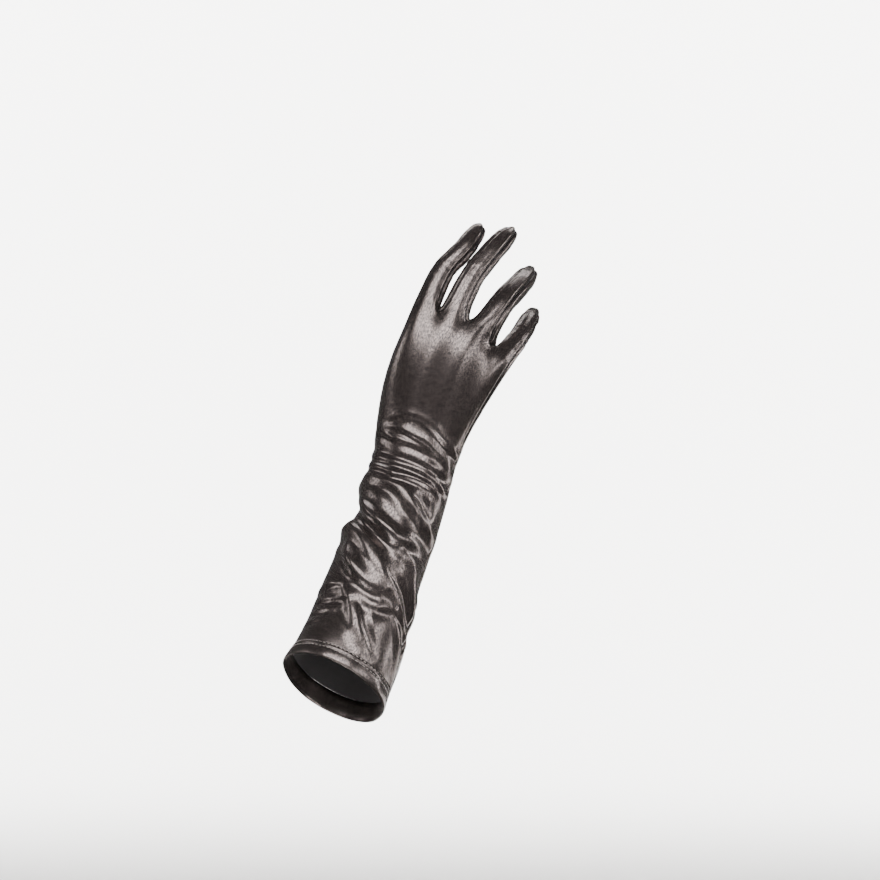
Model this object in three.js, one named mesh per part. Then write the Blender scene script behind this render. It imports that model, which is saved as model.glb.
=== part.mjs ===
import * as THREE from 'three';

// A long satin dress glove for a right hand, in the form that it has on a raised arm.
// It is one smooth surface, worked out from a few sections, and cut along its seams into
// the pieces that it is sewn from: back, palm, thumb, three fourchettes and the folded hem.
// +X runs towards the little finger, +Y from the back of the hand to the palm, +Z up.
// The origin is the centre of the cuff opening. Every length is in millimetres.

const SATIN = 1.0; // wall of the satin
const HEM_SATIN = 2.0; // wall of the hem, where the satin is folded double
const SEAM_GAP = 0.3; // space left between two sewn pieces
const SHARPEST = 0.25; // sine of the sharpest half corner that keeps the whole gap
const HEM_DEPTH = 12.5; // how far the hem is turned up

// The sleeve's sections, from the cuff to the wrist: the centre of each, half its width
// across the arm and half its depth from front to back. lean is how many degrees its
// front stands up the arm from square, and skew how many its outer side stands down.
const SLEEVE = [
  { x: 0, y: 0, z: 0, wide: 37.2, deep: 36, lean: 9, skew: 4 },
  { x: 10.6, y: 10.9, z: 24.1, wide: 34.6, deep: 33, lean: 3, skew: 0 },
  { x: 26.5, y: 30.9, z: 70.1, wide: 31.0, deep: 29.5, lean: 0, skew: 0 },
  { x: 43.7, y: 49.5, z: 113.2, wide: 28.3, deep: 25.5, lean: -4, skew: 2 },
  { x: 54.2, y: 62.0, z: 153.5, wide: 28.4, deep: 20.5, lean: -8, skew: 7 },
];
const ACROSS_ARM = new THREE.Vector3(0.943, 0, -0.333); // from the thumb's side to the little finger's
const SLEEVE_TURN = 16; // degrees that the seams stand round towards the front

// The fingers' joints, from the knuckle to the tip, how far along the first bone the
// webs stand, and half the finger's width.
// turn is how far, in degrees, the finger is rolled with its outer side to the front.
const FINGERS = {
  index: {
    joints: [[54, 73, 237], [71.5, 84, 278], [87.5, 94, 294.5], [99.5, 109, 312]],
    web: 0.42, wide: 8.4, turn: -4,
  },
  middle: {
    joints: [[71, 68, 232], [92.4, 80, 275.5], [107.7, 94, 294.5], [121.7, 112, 309.5]],
    web: 0.4, wide: 8.8, turn: 0,
  },
  ring: {
    joints: [[90, 67, 223], [114, 82, 258.5], [126.5, 103, 271.5], [134.5, 125, 282]],
    web: 0.37, wide: 8.8, turn: 6,
  },
  little: {
    joints: [[107.5, 70, 212], [125.4, 89, 234.5], [130.8, 104, 244.5], [136.3, 123, 253.5]],
    web: 0.3, wide: 7.4, turn: 26,
  },
};
// The rings down every finger: which bone they stand on, how far along it, and the
// share of the finger's half width that they have across and in depth.
const FINGER_RINGS = [
  { name: 'knuckle', bone: 0, along: 0, wide: 1.12, deep: 1.42 },
  { name: 'web', bone: 0, pastWeb: 0, wide: 1.06, deep: 1.14 },
  { name: 'above web', bone: 0, pastWeb: 0.2, wide: 1.0, deep: 1.0 },
  { name: 'middle joint', bone: 1, along: 0, wide: 1.0, deep: 0.93 },
  { name: 'middle bone', bone: 1, along: 0.5, wide: 0.92, deep: 0.86 },
  { name: 'end joint', bone: 2, along: 0, wide: 0.9, deep: 0.8 },
  { name: 'pad', bone: 2, along: 0.5, wide: 0.84, deep: 0.76 },
  { name: 'tip', bone: 2, along: 0.88, wide: 0.58, deep: 0.5 },
];
const TIP_REACH = 1.06; // the end of the fingertip, as a share of the end bone

// The thumb's joints, from inside the mound to the tip, and its rings.
const THUMB = {
  joints: [[46.5, 84, 183], [49, 102, 203], [60.2, 122, 226.1], [73, 132, 249]],
  start: -50, // degrees round the thumb, where its piece begins on the opening's rim
  rings: [
    { bone: 1, along: 0, wide: 13.0, deep: 13.5 },
    { bone: 1, along: 0.5, wide: 10.2, deep: 10.2 },
    { bone: 2, along: 0, wide: 9.8, deep: 9.0 },
    { bone: 2, along: 0.5, wide: 9.2, deep: 7.8 },
    { bone: 2, along: 0.86, wide: 6.4, deep: 5.2 },
  ],
};

// The folds of the sleeve. A fold runs from one place over a second to a third, and fades
// at its ends. A place is the degrees round the arm and the millimetres up it: 0 degrees is
// the seam on the little finger's side, 90 the back, 180 the thumb's side, 270 the palm.
// wide is half the fold's width and high its height, which is negative in a hollow.
const FOLDS = [
  // The gathers at the wrist, one on each second row.
  { from: [190, 191], over: [90, 190], to: [-10, 189], wide: 5, high: 1.6 },
  { from: [200, 181], over: [90, 181], to: [-20, 180], wide: 5, high: 1.8 },
  { from: [200, 172], over: [90, 172], to: [-20, 171], wide: 5, high: 1.8 },
  { from: [200, 163], over: [90, 162], to: [-10, 161], wide: 5, high: 1.8 },
  { from: [195, 154], over: [100, 152], to: [30, 149], wide: 5, high: 1.6 },
  { from: [345, 185], over: [270, 184], to: [195, 186], wide: 6, high: 1.4 },
  { from: [350, 172], over: [270, 172], to: [190, 172], wide: 5, high: 1.6 },
  { from: [350, 161], over: [270, 162], to: [190, 163], wide: 5, high: 1.6 },
  // The slack of the sleeve, which hangs in folds that wind down round the arm.
  { from: [250, 128], over: [140, 144], to: [30, 112], wide: 15, high: 6 },
  { from: [240, 92], over: [150, 107], to: [60, 100], wide: 12, high: 5 },
  { from: [90, 102], over: [50, 90], to: [-15, 58], wide: 10, high: 3.5 },
  { from: [185, 100], over: [110, 79], to: [45, 58], wide: 9, high: 3.5 },
  { from: [170, 72], over: [105, 58], to: [70, 18], wide: 10, high: 2.2 },
  { from: [45, 66], over: [20, 42], to: [0, 8], wide: 9, high: 2.6 },
  { from: [160, 124], over: [100, 113], to: [30, 104], wide: 6, high: -1.6 },
  { from: [84, 60], over: [64, 36], to: [40, 12], wide: 7, high: -2 },
  { from: [62, 146], over: [50, 139], to: [36, 128], wide: 10, high: -2.2 },
  // The same on the side of the palm.
  { from: [330, 128], over: [275, 116], to: [205, 124], wide: 13, high: 3.2 },
  { from: [345, 62], over: [275, 78], to: [215, 92], wide: 12, high: 3.4 },
  { from: [330, 34], over: [270, 42], to: [205, 60], wide: 11, high: 2.4 },
];
const FOLD_STEPS = 12; // steps along a fold that a place is measured from
const MM_PER_DEGREE = 0.55; // of the arm's girth

// The columns of the surface, from the seam on the thumb's side over the back to the
// seam on the little finger's side, and round the palm again. Each ends in a corner of a
// finger's ring, in degrees, 0 being towards the little finger and 90 the back, or in
// the web between two fingers.
const COLUMNS = [
  { finger: 'index', corner: 180 }, { finger: 'index', corner: 135 },
  { finger: 'index', corner: 90 }, { web: 0, side: 'back' },
  { finger: 'middle', corner: 90 }, { web: 1, side: 'back' },
  { finger: 'ring', corner: 90 }, { web: 2, side: 'back' },
  { finger: 'little', corner: 90 }, { finger: 'little', corner: 45 },
  { finger: 'little', corner: 0 }, { finger: 'little', corner: -45 },
  { finger: 'little', corner: -90 }, { web: 2, side: 'palm' },
  { finger: 'ring', corner: -90 }, { web: 1, side: 'palm' },
  { finger: 'middle', corner: -90 }, { web: 0, side: 'palm' },
  { finger: 'index', corner: -90 }, { finger: 'index', corner: -135 },
];
const BACK_COLUMNS = 10; // the first faces round are the back's, and the rest the palm's
// The webs: the two fingers that each joins, and how far its side on the back of the hand
// lies nearer the wrist, and its side in the palm further from it, than the web ring.
const WEBS = [
  { pair: ['index', 'middle'], sink: 6, rise: 4 },
  { pair: ['middle', 'ring'], sink: 4, rise: 5 },
  { pair: ['ring', 'little'], sink: 4, rise: 3 },
];
const FILL = { back: 1.2, palm: 3 }; // how far the hollows between two knuckles are filled
const CORNERS = [180, 135, 90, 45, 0, -45, -90, -135]; // round a finger, as the columns run
// The piece that each side of a finger belongs to, from corner to corner.
const [IM, MR, RL] = WEBS.map(({ pair }) => `fourchette_${pair.join('_')}`);
const [BACK, PALM, HEM, THUMB_PIECE] = ['back_panel', 'palm_panel', 'cuff_hem', 'thumb_panel'];
const FINGER_PIECES = {
  index: [BACK, BACK, BACK, IM, IM, PALM, PALM, PALM],
  middle: [IM, BACK, BACK, MR, MR, PALM, PALM, IM],
  ring: [MR, BACK, BACK, RL, RL, PALM, PALM, MR],
  little: [RL, BACK, BACK, BACK, PALM, PALM, PALM, RL],
};
// The rows of the surface: how far up the arm each of the sleeve's stands, the wrist's
// being the last, and at which share of the way from the wrist to the knuckles the hand's.
// Near the wrist a row lies on the crest of each small fold.
const SLEEVE_ROWS = [0, HEM_DEPTH, 28, 45, 62, 79, 96, 112, 126, 137, 147, 157, 167];
// The root of the thumb swells the hand outwards by out and the palm by mound, and the
// other edge of the hand is hollowed by waist.
const HAND_ROWS = [
  { share: 0, out: 1, mound: 0, waist: 0 },
  { share: 0.12, out: 2.5, mound: 0, waist: 1 },
  { share: 0.24, out: 4, mound: 2, waist: 2.5 },
  { share: 0.46, out: 5, mound: 5, waist: 2.7 },
  { share: 0.72, out: 4, mound: 3, waist: 1.5 },
  { share: 1, out: -1, mound: 0, waist: 0 },
];
const THUMB_ROOT = 0.5; // how far the ring at the thumb's root stands from the palm to the first
const THUMB_ROOT_SWELL = 1.12; // how much wider than straight between them it is
const THUMB_HOLE = { rows: [2, 4], columns: [16, 19] }; // of the hand's rows, for the thumb
const ROUNDING = 0.22; // how far the opening's four corners are drawn in to its middle
const MOUND_TURN = 30; // degrees that the thumb's mound stands round from the palm's middle
const BEYOND_FOLDS = 400; // a distance up the arm that no fold reaches

const vec = (a) => new THREE.Vector3(...a);
const mix = (a, b, t) => a.clone().lerp(b, t);
const sin = (degrees) => Math.sin(THREE.MathUtils.degToRad(degrees));
const cos = (degrees) => Math.cos(THREE.MathUtils.degToRad(degrees));
const tan = (degrees) => sin(degrees) / cos(degrees);
const angleOf = (x, y) => THREE.MathUtils.radToDeg(Math.atan2(y, x));
// Smoothing draws a ring of n corners in; this is how far out they start, to end on it.
const ringGrowth = (n) => 3 / (2 + cos(360 / n));

// The two directions across an axis: towards the little finger and towards the back.
function frameOf(axis, across, turn) {
  const t = axis.clone().normalize();
  const e1 = across.clone().addScaledVector(t, -across.dot(t)).normalize();
  e1.applyAxisAngle(t, -THREE.MathUtils.degToRad(turn));
  return [e1, e1.clone().cross(t)];
}

// A point at an angle on the oval that stands on a frame.
function ovalPoint(centre, [e1, e2], wide, deep, degrees) {
  return centre.clone()
    .addScaledVector(e1, wide * cos(degrees))
    .addScaledVector(e2, deep * sin(degrees));
}

const sleeveLine = new THREE.CatmullRomCurve3(SLEEVE.map((s) => new THREE.Vector3(s.x, s.y, s.z)));
const SLEEVE_LENGTH = sleeveLine.getLength();
const columnAngle = (j) => 180 - (360 * j) / COLUMNS.length;

// One row of the sleeve, at a distance up the arm.
function sleeveRing(along) {
  const u = Math.min(along / SLEEVE_LENGTH, 1);
  const t = sleeveLine.getUtoTmapping(u) * (SLEEVE.length - 1);
  const i = Math.min(Math.floor(t), SLEEVE.length - 2);
  const at = (key) => THREE.MathUtils.lerp(SLEEVE[i][key], SLEEVE[i + 1][key], t - i);
  const axis = sleeveLine.getTangentAt(u);
  const frame = frameOf(axis, ACROSS_ARM, SLEEVE_TURN);
  const grow = ringGrowth(COLUMNS.length);
  return COLUMNS.map((_, j) => {
    const p = ovalPoint(new THREE.Vector3(), frame, at('wide') * grow, at('deep') * grow, columnAngle(j));
    p.addScaledVector(axis, p.dot(frame[1]) * tan(at('lean')) - p.dot(frame[0]) * tan(at('skew')));
    return p.add(sleeveLine.getPointAt(u));
  });
}

const fingerNames = Object.keys(FINGERS);
const ACROSS_HAND = vec(FINGERS.little.joints[0]).sub(vec(FINGERS.index.joints[0])).normalize();
const OUT_OF_PALM = new THREE.Vector3(0, 1, 0);

// A ring round a finger or the thumb, at a share of the way along one of its bones.
function jointedRing(joints, { bone, along, wide, deep }, turn, angles) {
  const p = joints.map(vec);
  const boneLine = (i) => p[i + 1].clone().sub(p[i]).normalize();
  const axis = boneLine(bone);
  if (along === 0 && bone > 0) axis.add(boneLine(bone - 1));
  const frame = frameOf(axis, ACROSS_HAND, turn);
  const grow = ringGrowth(angles.length);
  const centre = mix(p[bone], p[bone + 1], along);
  return angles.map((degrees) => ovalPoint(centre, frame, wide * grow, deep * grow, degrees));
}

function fingerRing(name, k) {
  const finger = FINGERS[name];
  const ring = FINGER_RINGS[k];
  const along = ring.along ?? finger.web + ring.pastWeb;
  const size = { wide: finger.wide * ring.wide, deep: finger.wide * ring.deep };
  return jointedRing(finger.joints, { bone: ring.bone, along, ...size }, finger.turn, CORNERS);
}
function fingerLine(name) {
  const [knuckle, joint] = FINGERS[name].joints.map(vec);
  return joint.sub(knuckle).normalize();
}
const cornerOf = (ring, degrees) => ring[CORNERS.indexOf(degrees)];
const [KNUCKLE, WEB] = [0, 1]; // the first two of the finger rings, which the hand shares

// The hand's row at the knuckles or at the webs, from the rings of the four fingers.
function handRing(k) {
  return COLUMNS.map(({ finger, corner, web, side }) => {
    if (finger) return cornerOf(fingerRing(finger, k), corner);
    const sign = side === 'back' ? 1 : -1;
    const { pair: [low, high], sink, rise } = WEBS[web];
    const point = mix(cornerOf(fingerRing(low, k), 45 * sign), cornerOf(fingerRing(high, k), 135 * sign), 0.5);
    if (k === KNUCKLE) return point.addScaledVector(OUT_OF_PALM, side === 'back' ? -FILL.back : FILL.palm);
    return point.addScaledVector(fingerLine(low), side === 'back' ? -sink : rise);
  });
}

// The surface is first a coarse net. A corner holds its point, and for the folds the
// cosine and sine of its angle round the arm and its distance up the arm.
const corners = [];
const faces = [];
const addCorners = (points, place) =>
  points.map((p, j) => corners.push([...p.toArray(), ...place(j)]) - 1);
function addBand(low, high, pieceOf) {
  low.forEach((corner, j) => {
    const next = (j + 1) % low.length;
    if (pieceOf(j)) faces.push({ at: [corner, low[next], high[next], high[j]], piece: pieceOf(j) });
  });
}

const bodyPiece = (j) => (j < BACK_COLUMNS ? BACK : PALM);
const onArm = (along) => (j) => [cos(columnAngle(j)), sin(columnAngle(j)), along];
const onFinger = () => [0, 0, BEYOND_FOLDS];
const wrist = sleeveRing(SLEEVE_LENGTH);
const knuckles = handRing(KNUCKLE);
const handLength = wrist[0].distanceTo(knuckles[0]);

const sleeveRows = SLEEVE_ROWS.map((along) => addCorners(sleeveRing(along), onArm(along)));
const handRows = HAND_ROWS.map(({ share, out, mound, waist }) => addCorners(
  wrist.map((p, j) => {
    const angle = columnAngle(j);
    const thumbSide = Math.max(0, -cos(angle));
    const outerSide = Math.max(0, cos(angle));
    return mix(p, knuckles[j], share)
      .addScaledVector(ACROSS_HAND, -out * thumbSide ** 2 - waist * outerSide ** 2)
      .addScaledVector(OUT_OF_PALM, mound * Math.max(0, -sin(angle + MOUND_TURN)) ** 2 * thumbSide);
  }), onArm(SLEEVE_LENGTH + share * handLength)));
const webRow = addCorners(handRing(WEB), onFinger);

sleeveRows.slice(1).forEach((high, i) => addBand(sleeveRows[i], high, i === 0 ? () => HEM : bodyPiece));
addBand(sleeveRows.at(-1), handRows[0], bodyPiece);
const isOpen = (row, j) =>
  row >= THUMB_HOLE.rows[0] && row < THUMB_HOLE.rows[1] &&
  j >= THUMB_HOLE.columns[0] && j < THUMB_HOLE.columns[1];
handRows.slice(1).forEach((high, row) =>
  addBand(handRows[row], high, (j) => (isOpen(row, j) ? null : bodyPiece(j))));
addBand(handRows.at(-1), webRow, bodyPiece);

// The end of a finger or the thumb: its last ring is closed round one corner.
function addTip(ring, joints, pieceOf) {
  const tip = mix(vec(joints.at(-2)), vec(joints.at(-1)), TIP_REACH);
  const [end] = addCorners([tip], onFinger);
  ring.forEach((corner, j) =>
    faces.push({ at: [corner, ring[(j + 1) % ring.length], end], piece: pieceOf(j) }));
}

// The fingers stand on the row of the webs, where two neighbours share the web between.
const saddles = WEBS.map(({ pair: [low, high], sink, rise }) => addCorners(
  [mix(cornerOf(fingerRing(low, WEB), 0), cornerOf(fingerRing(high, WEB), 180), 0.5)
    .addScaledVector(fingerLine(low), (rise - sink) / 2)], onFinger)[0]);
function fingerRoot(name, degrees) {
  const column = COLUMNS.findIndex((c) => c.finger === name && c.corner === degrees);
  if (column >= 0) return webRow[column];
  const web = WEBS.findIndex(({ pair }) => pair[Math.abs(degrees) < 90 ? 0 : 1] === name);
  if (degrees === 0 || degrees === 180) return saddles[web];
  return webRow[COLUMNS.findIndex((c) => c.web === web && c.side === (degrees > 0 ? 'back' : 'palm'))];
}
for (const name of fingerNames) {
  const pieceOf = (j) => FINGER_PIECES[name][j];
  let low = CORNERS.map((degrees) => fingerRoot(name, degrees));
  for (let k = WEB + 1; k < FINGER_RINGS.length; k++) {
    const high = addCorners(fingerRing(name, k), onFinger);
    addBand(low, high, pieceOf);
    low = high;
  }
  addTip(low, FINGERS[name].joints, pieceOf);
}

// The thumb stands on the rim of the opening in the palm, and turns round to its rings.
const [firstRow, lastRow] = THUMB_HOLE.rows;
const [firstColumn, lastColumn] = THUMB_HOLE.columns;
const rim = [];
for (let c = firstColumn; c < lastColumn; c++) rim.push(handRows[firstRow][c]);
for (let r = firstRow; r < lastRow; r++) rim.push(handRows[r][lastColumn]);
for (let c = lastColumn; c > firstColumn; c--) rim.push(handRows[lastRow][c]);
for (let r = lastRow; r > firstRow; r--) rim.push(handRows[r][firstColumn]);
const pointOf = (corner) => new THREE.Vector3(...corners[corner]);
const middleOf = (list) => list.reduce((sum, p) => sum.add(p), new THREE.Vector3()).divideScalar(list.length);
const rimMiddle = middleOf(rim.map(pointOf));
for (const row of THUMB_HOLE.rows) {
  for (const column of THUMB_HOLE.columns) {
    const corner = handRows[row][column];
    corners[corner].splice(0, 3, ...mix(pointOf(corner), rimMiddle, ROUNDING).toArray());
  }
}
const thumbAngles = rim.map((_, j) => THUMB.start - (360 * j) / rim.length);
const thumbRings = THUMB.rings.map((ring) => jointedRing(THUMB.joints, ring, 0, thumbAngles));
const root = rim.map((corner, j) => mix(pointOf(corner), thumbRings[0][j], THUMB_ROOT));
const rootMiddle = middleOf(root);
const swollen = root.map((p) => p.sub(rootMiddle).multiplyScalar(THUMB_ROOT_SWELL).add(rootMiddle));
let thumbRing = rim;
for (const points of [swollen, ...thumbRings]) {
  const high = addCorners(points, onFinger);
  addBand(thumbRing, high, () => THUMB_PIECE);
  thumbRing = high;
}
addTip(thumbRing, THUMB.joints, () => THUMB_PIECE);

// One round of smoothing: each face is split into quads round its middle, and the
// corners are drawn in, as Catmull and Clark do it. A free edge stays a free edge.
function smooth(net) {
  const average = (list) => list[0].map((_, k) => list.reduce((sum, p) => sum + p[k], 0) / list.length);
  const middles = net.faces.map(({ at }) => average(at.map((i) => net.corners[i])));
  const edges = new Map();
  const around = net.corners.map(() => ({ edges: new Set(), middles: [] }));
  const keyOf = (a, b) => (a < b ? `${a},${b}` : `${b},${a}`);
  net.faces.forEach(({ at }, f) => at.forEach((a, i) => {
    const b = at[(i + 1) % at.length];
    const edge = edges.get(keyOf(a, b)) ?? { ends: [a, b], faces: [] };
    edges.set(keyOf(a, b), edge);
    edge.faces.push(f);
    around[a].edges.add(edge);
    around[b].edges.add(edge);
    around[a].middles.push(middles[f]);
  }));
  const edgeMiddle = (edge) => average(edge.ends.map((i) => net.corners[i]));
  const moved = net.corners.map((p, i) => {
    if (!around[i].middles.length) return p; // it stands in the opening for the thumb
    const free = [...around[i].edges].filter((edge) => edge.faces.length === 1);
    if (free.length) return average([p, p, average(free.map(edgeMiddle)), average(free.map(edgeMiddle))]);
    const n = around[i].middles.length;
    const middle = average(around[i].middles);
    const ring = average([...around[i].edges].map(edgeMiddle));
    return p.map((value, k) => (middle[k] + 2 * ring[k] + (n - 3) * value) / n);
  });
  const out = { corners: [...moved, ...middles], faces: [] };
  for (const edge of edges.values()) {
    const ends = edge.ends.map((i) => net.corners[i]);
    const sides = edge.faces.length === 2 ? edge.faces.map((f) => middles[f]) : [];
    edge.at = out.corners.push(average([...ends, ...sides])) - 1;
  }
  net.faces.forEach(({ at, piece }, f) => at.forEach((a, i) => {
    const before = edges.get(keyOf(at.at(i - 1), a)).at;
    const after = edges.get(keyOf(a, at[(i + 1) % at.length])).at;
    out.faces.push({ at: [a, after, moved.length + f, before], piece });
  }));
  return out;
}

// The direction out of the surface at every corner.
function normalsOf(net, points) {
  const normals = points.map(() => new THREE.Vector3());
  for (const { at: [a, b, c, d] } of net.faces) {
    const across = points[c].clone().sub(points[a]).cross(points[d].clone().sub(points[b]));
    [a, b, c, d].forEach((i) => normals[i].add(across));
  }
  return normals.map((n) => n.normalize());
}

// How far the folds lift the satin at a place on the sleeve.
function liftAt(degrees, along) {
  let lift = 0;
  for (const { from, over, to, wide, high } of FOLDS) {
    let nearest = { away: Infinity, share: 0 };
    for (let i = 0; i <= FOLD_STEPS; i++) {
      const t = i / FOLD_STEPS;
      const [angle, up] = [0, 1].map((k) =>
        (1 - t) * (1 - 2 * t) * from[k] + 4 * t * (1 - t) * over[k] + t * (2 * t - 1) * to[k]);
      const turn = THREE.MathUtils.euclideanModulo(degrees - angle + 180, 360) - 180;
      const away = Math.hypot(turn * MM_PER_DEGREE, along - up);
      if (away < nearest.away) nearest = { away, share: t };
    }
    const { away, share } = nearest;
    if (away < wide) lift += high * Math.sqrt(Math.sin(Math.PI * share)) * (0.5 + 0.5 * cos((180 * away) / wide));
  }
  return lift;
}

const surface = smooth({ corners, faces });
const flat = surface.corners.map((c) => new THREE.Vector3(...c));
const flatNormals = normalsOf(surface, flat);
const points = flat.map((p, i) => {
  const [, , , x, y, along] = surface.corners[i];
  return p.clone().addScaledVector(flatNormals[i], along < BEYOND_FOLDS ? liftAt(angleOf(x, y), along) : 0);
});
const normals = normalsOf(surface, points);

// One sewn piece: its part of the surface, drawn back from the seams by half of the gap
// there, an inner face one wall behind it, and the cut edges that join the two.
function sewnPiece(name, wall, material) {
  const own = surface.faces.filter((face) => face.piece === name).map((face) => face.at);
  const next = new Map();
  own.forEach((at) => at.forEach((a, i) => next.set(`${a},${at[(i + 1) % 4]}`, [a, at[(i + 1) % 4]])));
  const rimEdges = [...next.values()].filter(([a, b]) => !next.has(`${b},${a}`));
  const inward = new Map();
  for (const [a, b] of rimEdges) {
    const face = own.find((at) => at.some((i, k) => i === a && at[(k + 1) % 4] === b));
    const middle = face.reduce((sum, i) => sum.add(points[i]), new THREE.Vector3()).divideScalar(4);
    const along = points[b].clone().sub(points[a]).normalize();
    for (const i of [a, b]) {
      const pull = middle.clone().sub(points[i]).projectOnPlane(along).projectOnPlane(normals[i]);
      inward.set(i, [...(inward.get(i) ?? []), pull.normalize()]);
    }
  }
  const order = [...new Set(own.flat())];
  const index = new Map(order.map((corner, i) => [corner, i]));
  const outer = order.map((i) => {
    const pulls = inward.get(i);
    if (!pulls) return points[i];
    const pull = pulls.reduce((sum, p) => sum.add(p), new THREE.Vector3()).normalize();
    const reach = SEAM_GAP / 2 / Math.max(pull.dot(pulls[0]), SHARPEST);
    return points[i].clone().addScaledVector(pull, reach);
  });
  const inner = order.map((i, k) => outer[k].clone().addScaledVector(normals[i], -wall));
  const behind = (corner) => index.get(corner) + order.length;
  const triangles = [];
  const addQuad = (a, b, c, d) => triangles.push(a, b, c, a, c, d);
  for (const [a, b, c, d] of own) {
    const turned = points[a].distanceTo(points[c]) > points[b].distanceTo(points[d]);
    const quad = turned ? [b, c, d, a] : [a, b, c, d];
    addQuad(...quad.map((i) => index.get(i)));
    addQuad(behind(quad[0]), behind(quad[3]), behind(quad[2]), behind(quad[1]));
  }
  // The two cut edges at a seam are split along the same line, so that they stay apart.
  for (const [a, b] of rimEdges) {
    const edge = [index.get(b), index.get(a), behind(a), behind(b)];
    addQuad(...(a < b ? [...edge.slice(1), edge[0]] : edge));
  }
  const geometry = new THREE.BufferGeometry();
  geometry.setAttribute('position', new THREE.Float32BufferAttribute(
    [...outer, ...inner].flatMap((p) => p.toArray()), 3));
  geometry.setIndex(triangles);
  geometry.computeVertexNormals();
  const mesh = new THREE.Mesh(geometry, material);
  mesh.name = name;
  return mesh;
}

const satin = new THREE.MeshStandardMaterial({ color: 0x3a3433, roughness: 0.35, metalness: 0 });
const glove = new THREE.Group();
glove.name = 'satin_glove';
for (const name of [BACK, PALM, IM, MR, RL, THUMB_PIECE]) glove.add(sewnPiece(name, SATIN, satin.clone()));
glove.add(sewnPiece(HEM, HEM_SATIN, satin.clone()));

export default glove;
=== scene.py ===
import math
from functools import lru_cache

import bpy
import numpy as np
from bpy.props import FloatProperty, FloatVectorProperty, PointerProperty
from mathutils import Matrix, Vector
from mathutils.kdtree import KDTree


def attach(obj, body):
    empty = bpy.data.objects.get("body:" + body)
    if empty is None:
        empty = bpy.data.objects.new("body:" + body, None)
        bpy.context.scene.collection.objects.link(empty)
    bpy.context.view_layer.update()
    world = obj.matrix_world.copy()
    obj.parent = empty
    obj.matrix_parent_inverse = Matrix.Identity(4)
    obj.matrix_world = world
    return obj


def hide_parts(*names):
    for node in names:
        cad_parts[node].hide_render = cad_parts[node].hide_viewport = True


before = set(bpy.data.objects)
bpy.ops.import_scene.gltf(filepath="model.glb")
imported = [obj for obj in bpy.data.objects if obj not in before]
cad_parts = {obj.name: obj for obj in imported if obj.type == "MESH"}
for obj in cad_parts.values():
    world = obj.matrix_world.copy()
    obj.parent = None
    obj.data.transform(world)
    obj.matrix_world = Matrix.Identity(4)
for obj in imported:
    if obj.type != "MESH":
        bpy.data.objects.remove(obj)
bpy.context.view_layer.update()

bl_info = {
    "name": "Long satin glove",
    "version": (1, 0, 0),
    "blender": (4, 5, 0),
    "location": "3D View > Sidebar > Glove",
    "description": "Makes a long satin dress glove, sewn from its panels",
    "category": "Add Mesh",
}

MM = 0.001

# The sleeve's sections, from the cuff to the wrist, in millimetres: the centre of each,
# half its width and half its depth. lean is how many degrees its front stands up the arm
# from square, and skew how many its outer side stands down.
SLEEVE = [
    {"at": (0, 0, 0), "wide": 37.2, "deep": 36, "lean": 9, "skew": 4},
    {"at": (10.6, 10.9, 24.1), "wide": 34.6, "deep": 33, "lean": 3, "skew": 0},
    {"at": (26.5, 30.9, 70.1), "wide": 31.0, "deep": 29.5, "lean": 0, "skew": 0},
    {"at": (43.7, 49.5, 113.2), "wide": 28.3, "deep": 25.5, "lean": -4, "skew": 2},
    {"at": (54.2, 62.0, 153.5), "wide": 28.4, "deep": 20.5, "lean": -8, "skew": 7},
]
# The ways across the arm, towards the little finger, and out of the palm, the degrees that the
# sleeve is rolled round the arm, and the hem's depth.
ACROSS_ARM = (0.943, 0, -0.333)
OUT_OF_PALM = (0, 1, 0)
SLEEVE_TURN = 16
HEM_DEPTH = 12.5
# How far up the arm each row of the sleeve's net lies.
SLEEVE_ROWS = [
    HEM_DEPTH, 20, 28, 37, 46, 55, 64, 73, 82, 91, 100, 109, 118, 127, 136, 145, 153, 161, 169,
]
# The hand's rows, from the wrist to the knuckles: the thumb's root swells the hand outwards
# by out and the palm by mound, the other edge is hollowed by waist, and the back is arched.
HAND_ROWS = [
    {"share": 0, "out": 1, "mound": 0, "waist": 0, "arch": 0},
    {"share": 0.12, "out": 2.5, "mound": 0, "waist": 1, "arch": 0.5},
    {"share": 0.24, "out": 4, "mound": 2, "waist": 2.5, "arch": 1.2},
    {"share": 0.46, "out": 5, "mound": 5, "waist": 2.7, "arch": 2.0},
    {"share": 0.72, "out": 4, "mound": 3, "waist": 1.5, "arch": 2.7},
    {"share": 1, "out": -1, "mound": 0, "waist": 0, "arch": 1.2},
]
# How many degrees past the thumb's side the mound of its root lies, and how round the arch is.
MOUND_TURN = 30
ARCH_POWER = 0.5

# The fingers' joints, how far along the first bone the webs stand, half the finger's
# width, and the degrees that the finger is rolled.
FINGERS = {
    "index": {
        "joints": [(54, 70, 237), (71.5, 85.5, 278), (87.5, 94, 294.5), (99.5, 109, 312)],
        "web": 0.42, "wide": 8.4, "turn": -4,
    },
    "middle": {
        "joints": [(71, 65, 232), (92.4, 81.5, 275.5), (107.7, 94, 294.5), (121.7, 112, 309.5)],
        "web": 0.4, "wide": 8.8, "turn": 0,
    },
    "ring": {
        "joints": [(90, 64, 223), (114, 83.5, 258.5), (126.5, 103, 271.5), (134.5, 125, 282)],
        "web": 0.37, "wide": 8.8, "turn": 6,
    },
    "little": {
        "joints": [(107.5, 67, 212), (125.4, 90, 234.5), (130.8, 104, 244.5), (136.3, 123, 253.5)],
        "web": 0.3, "wide": 7.4, "turn": 26,
    },
}
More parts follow.
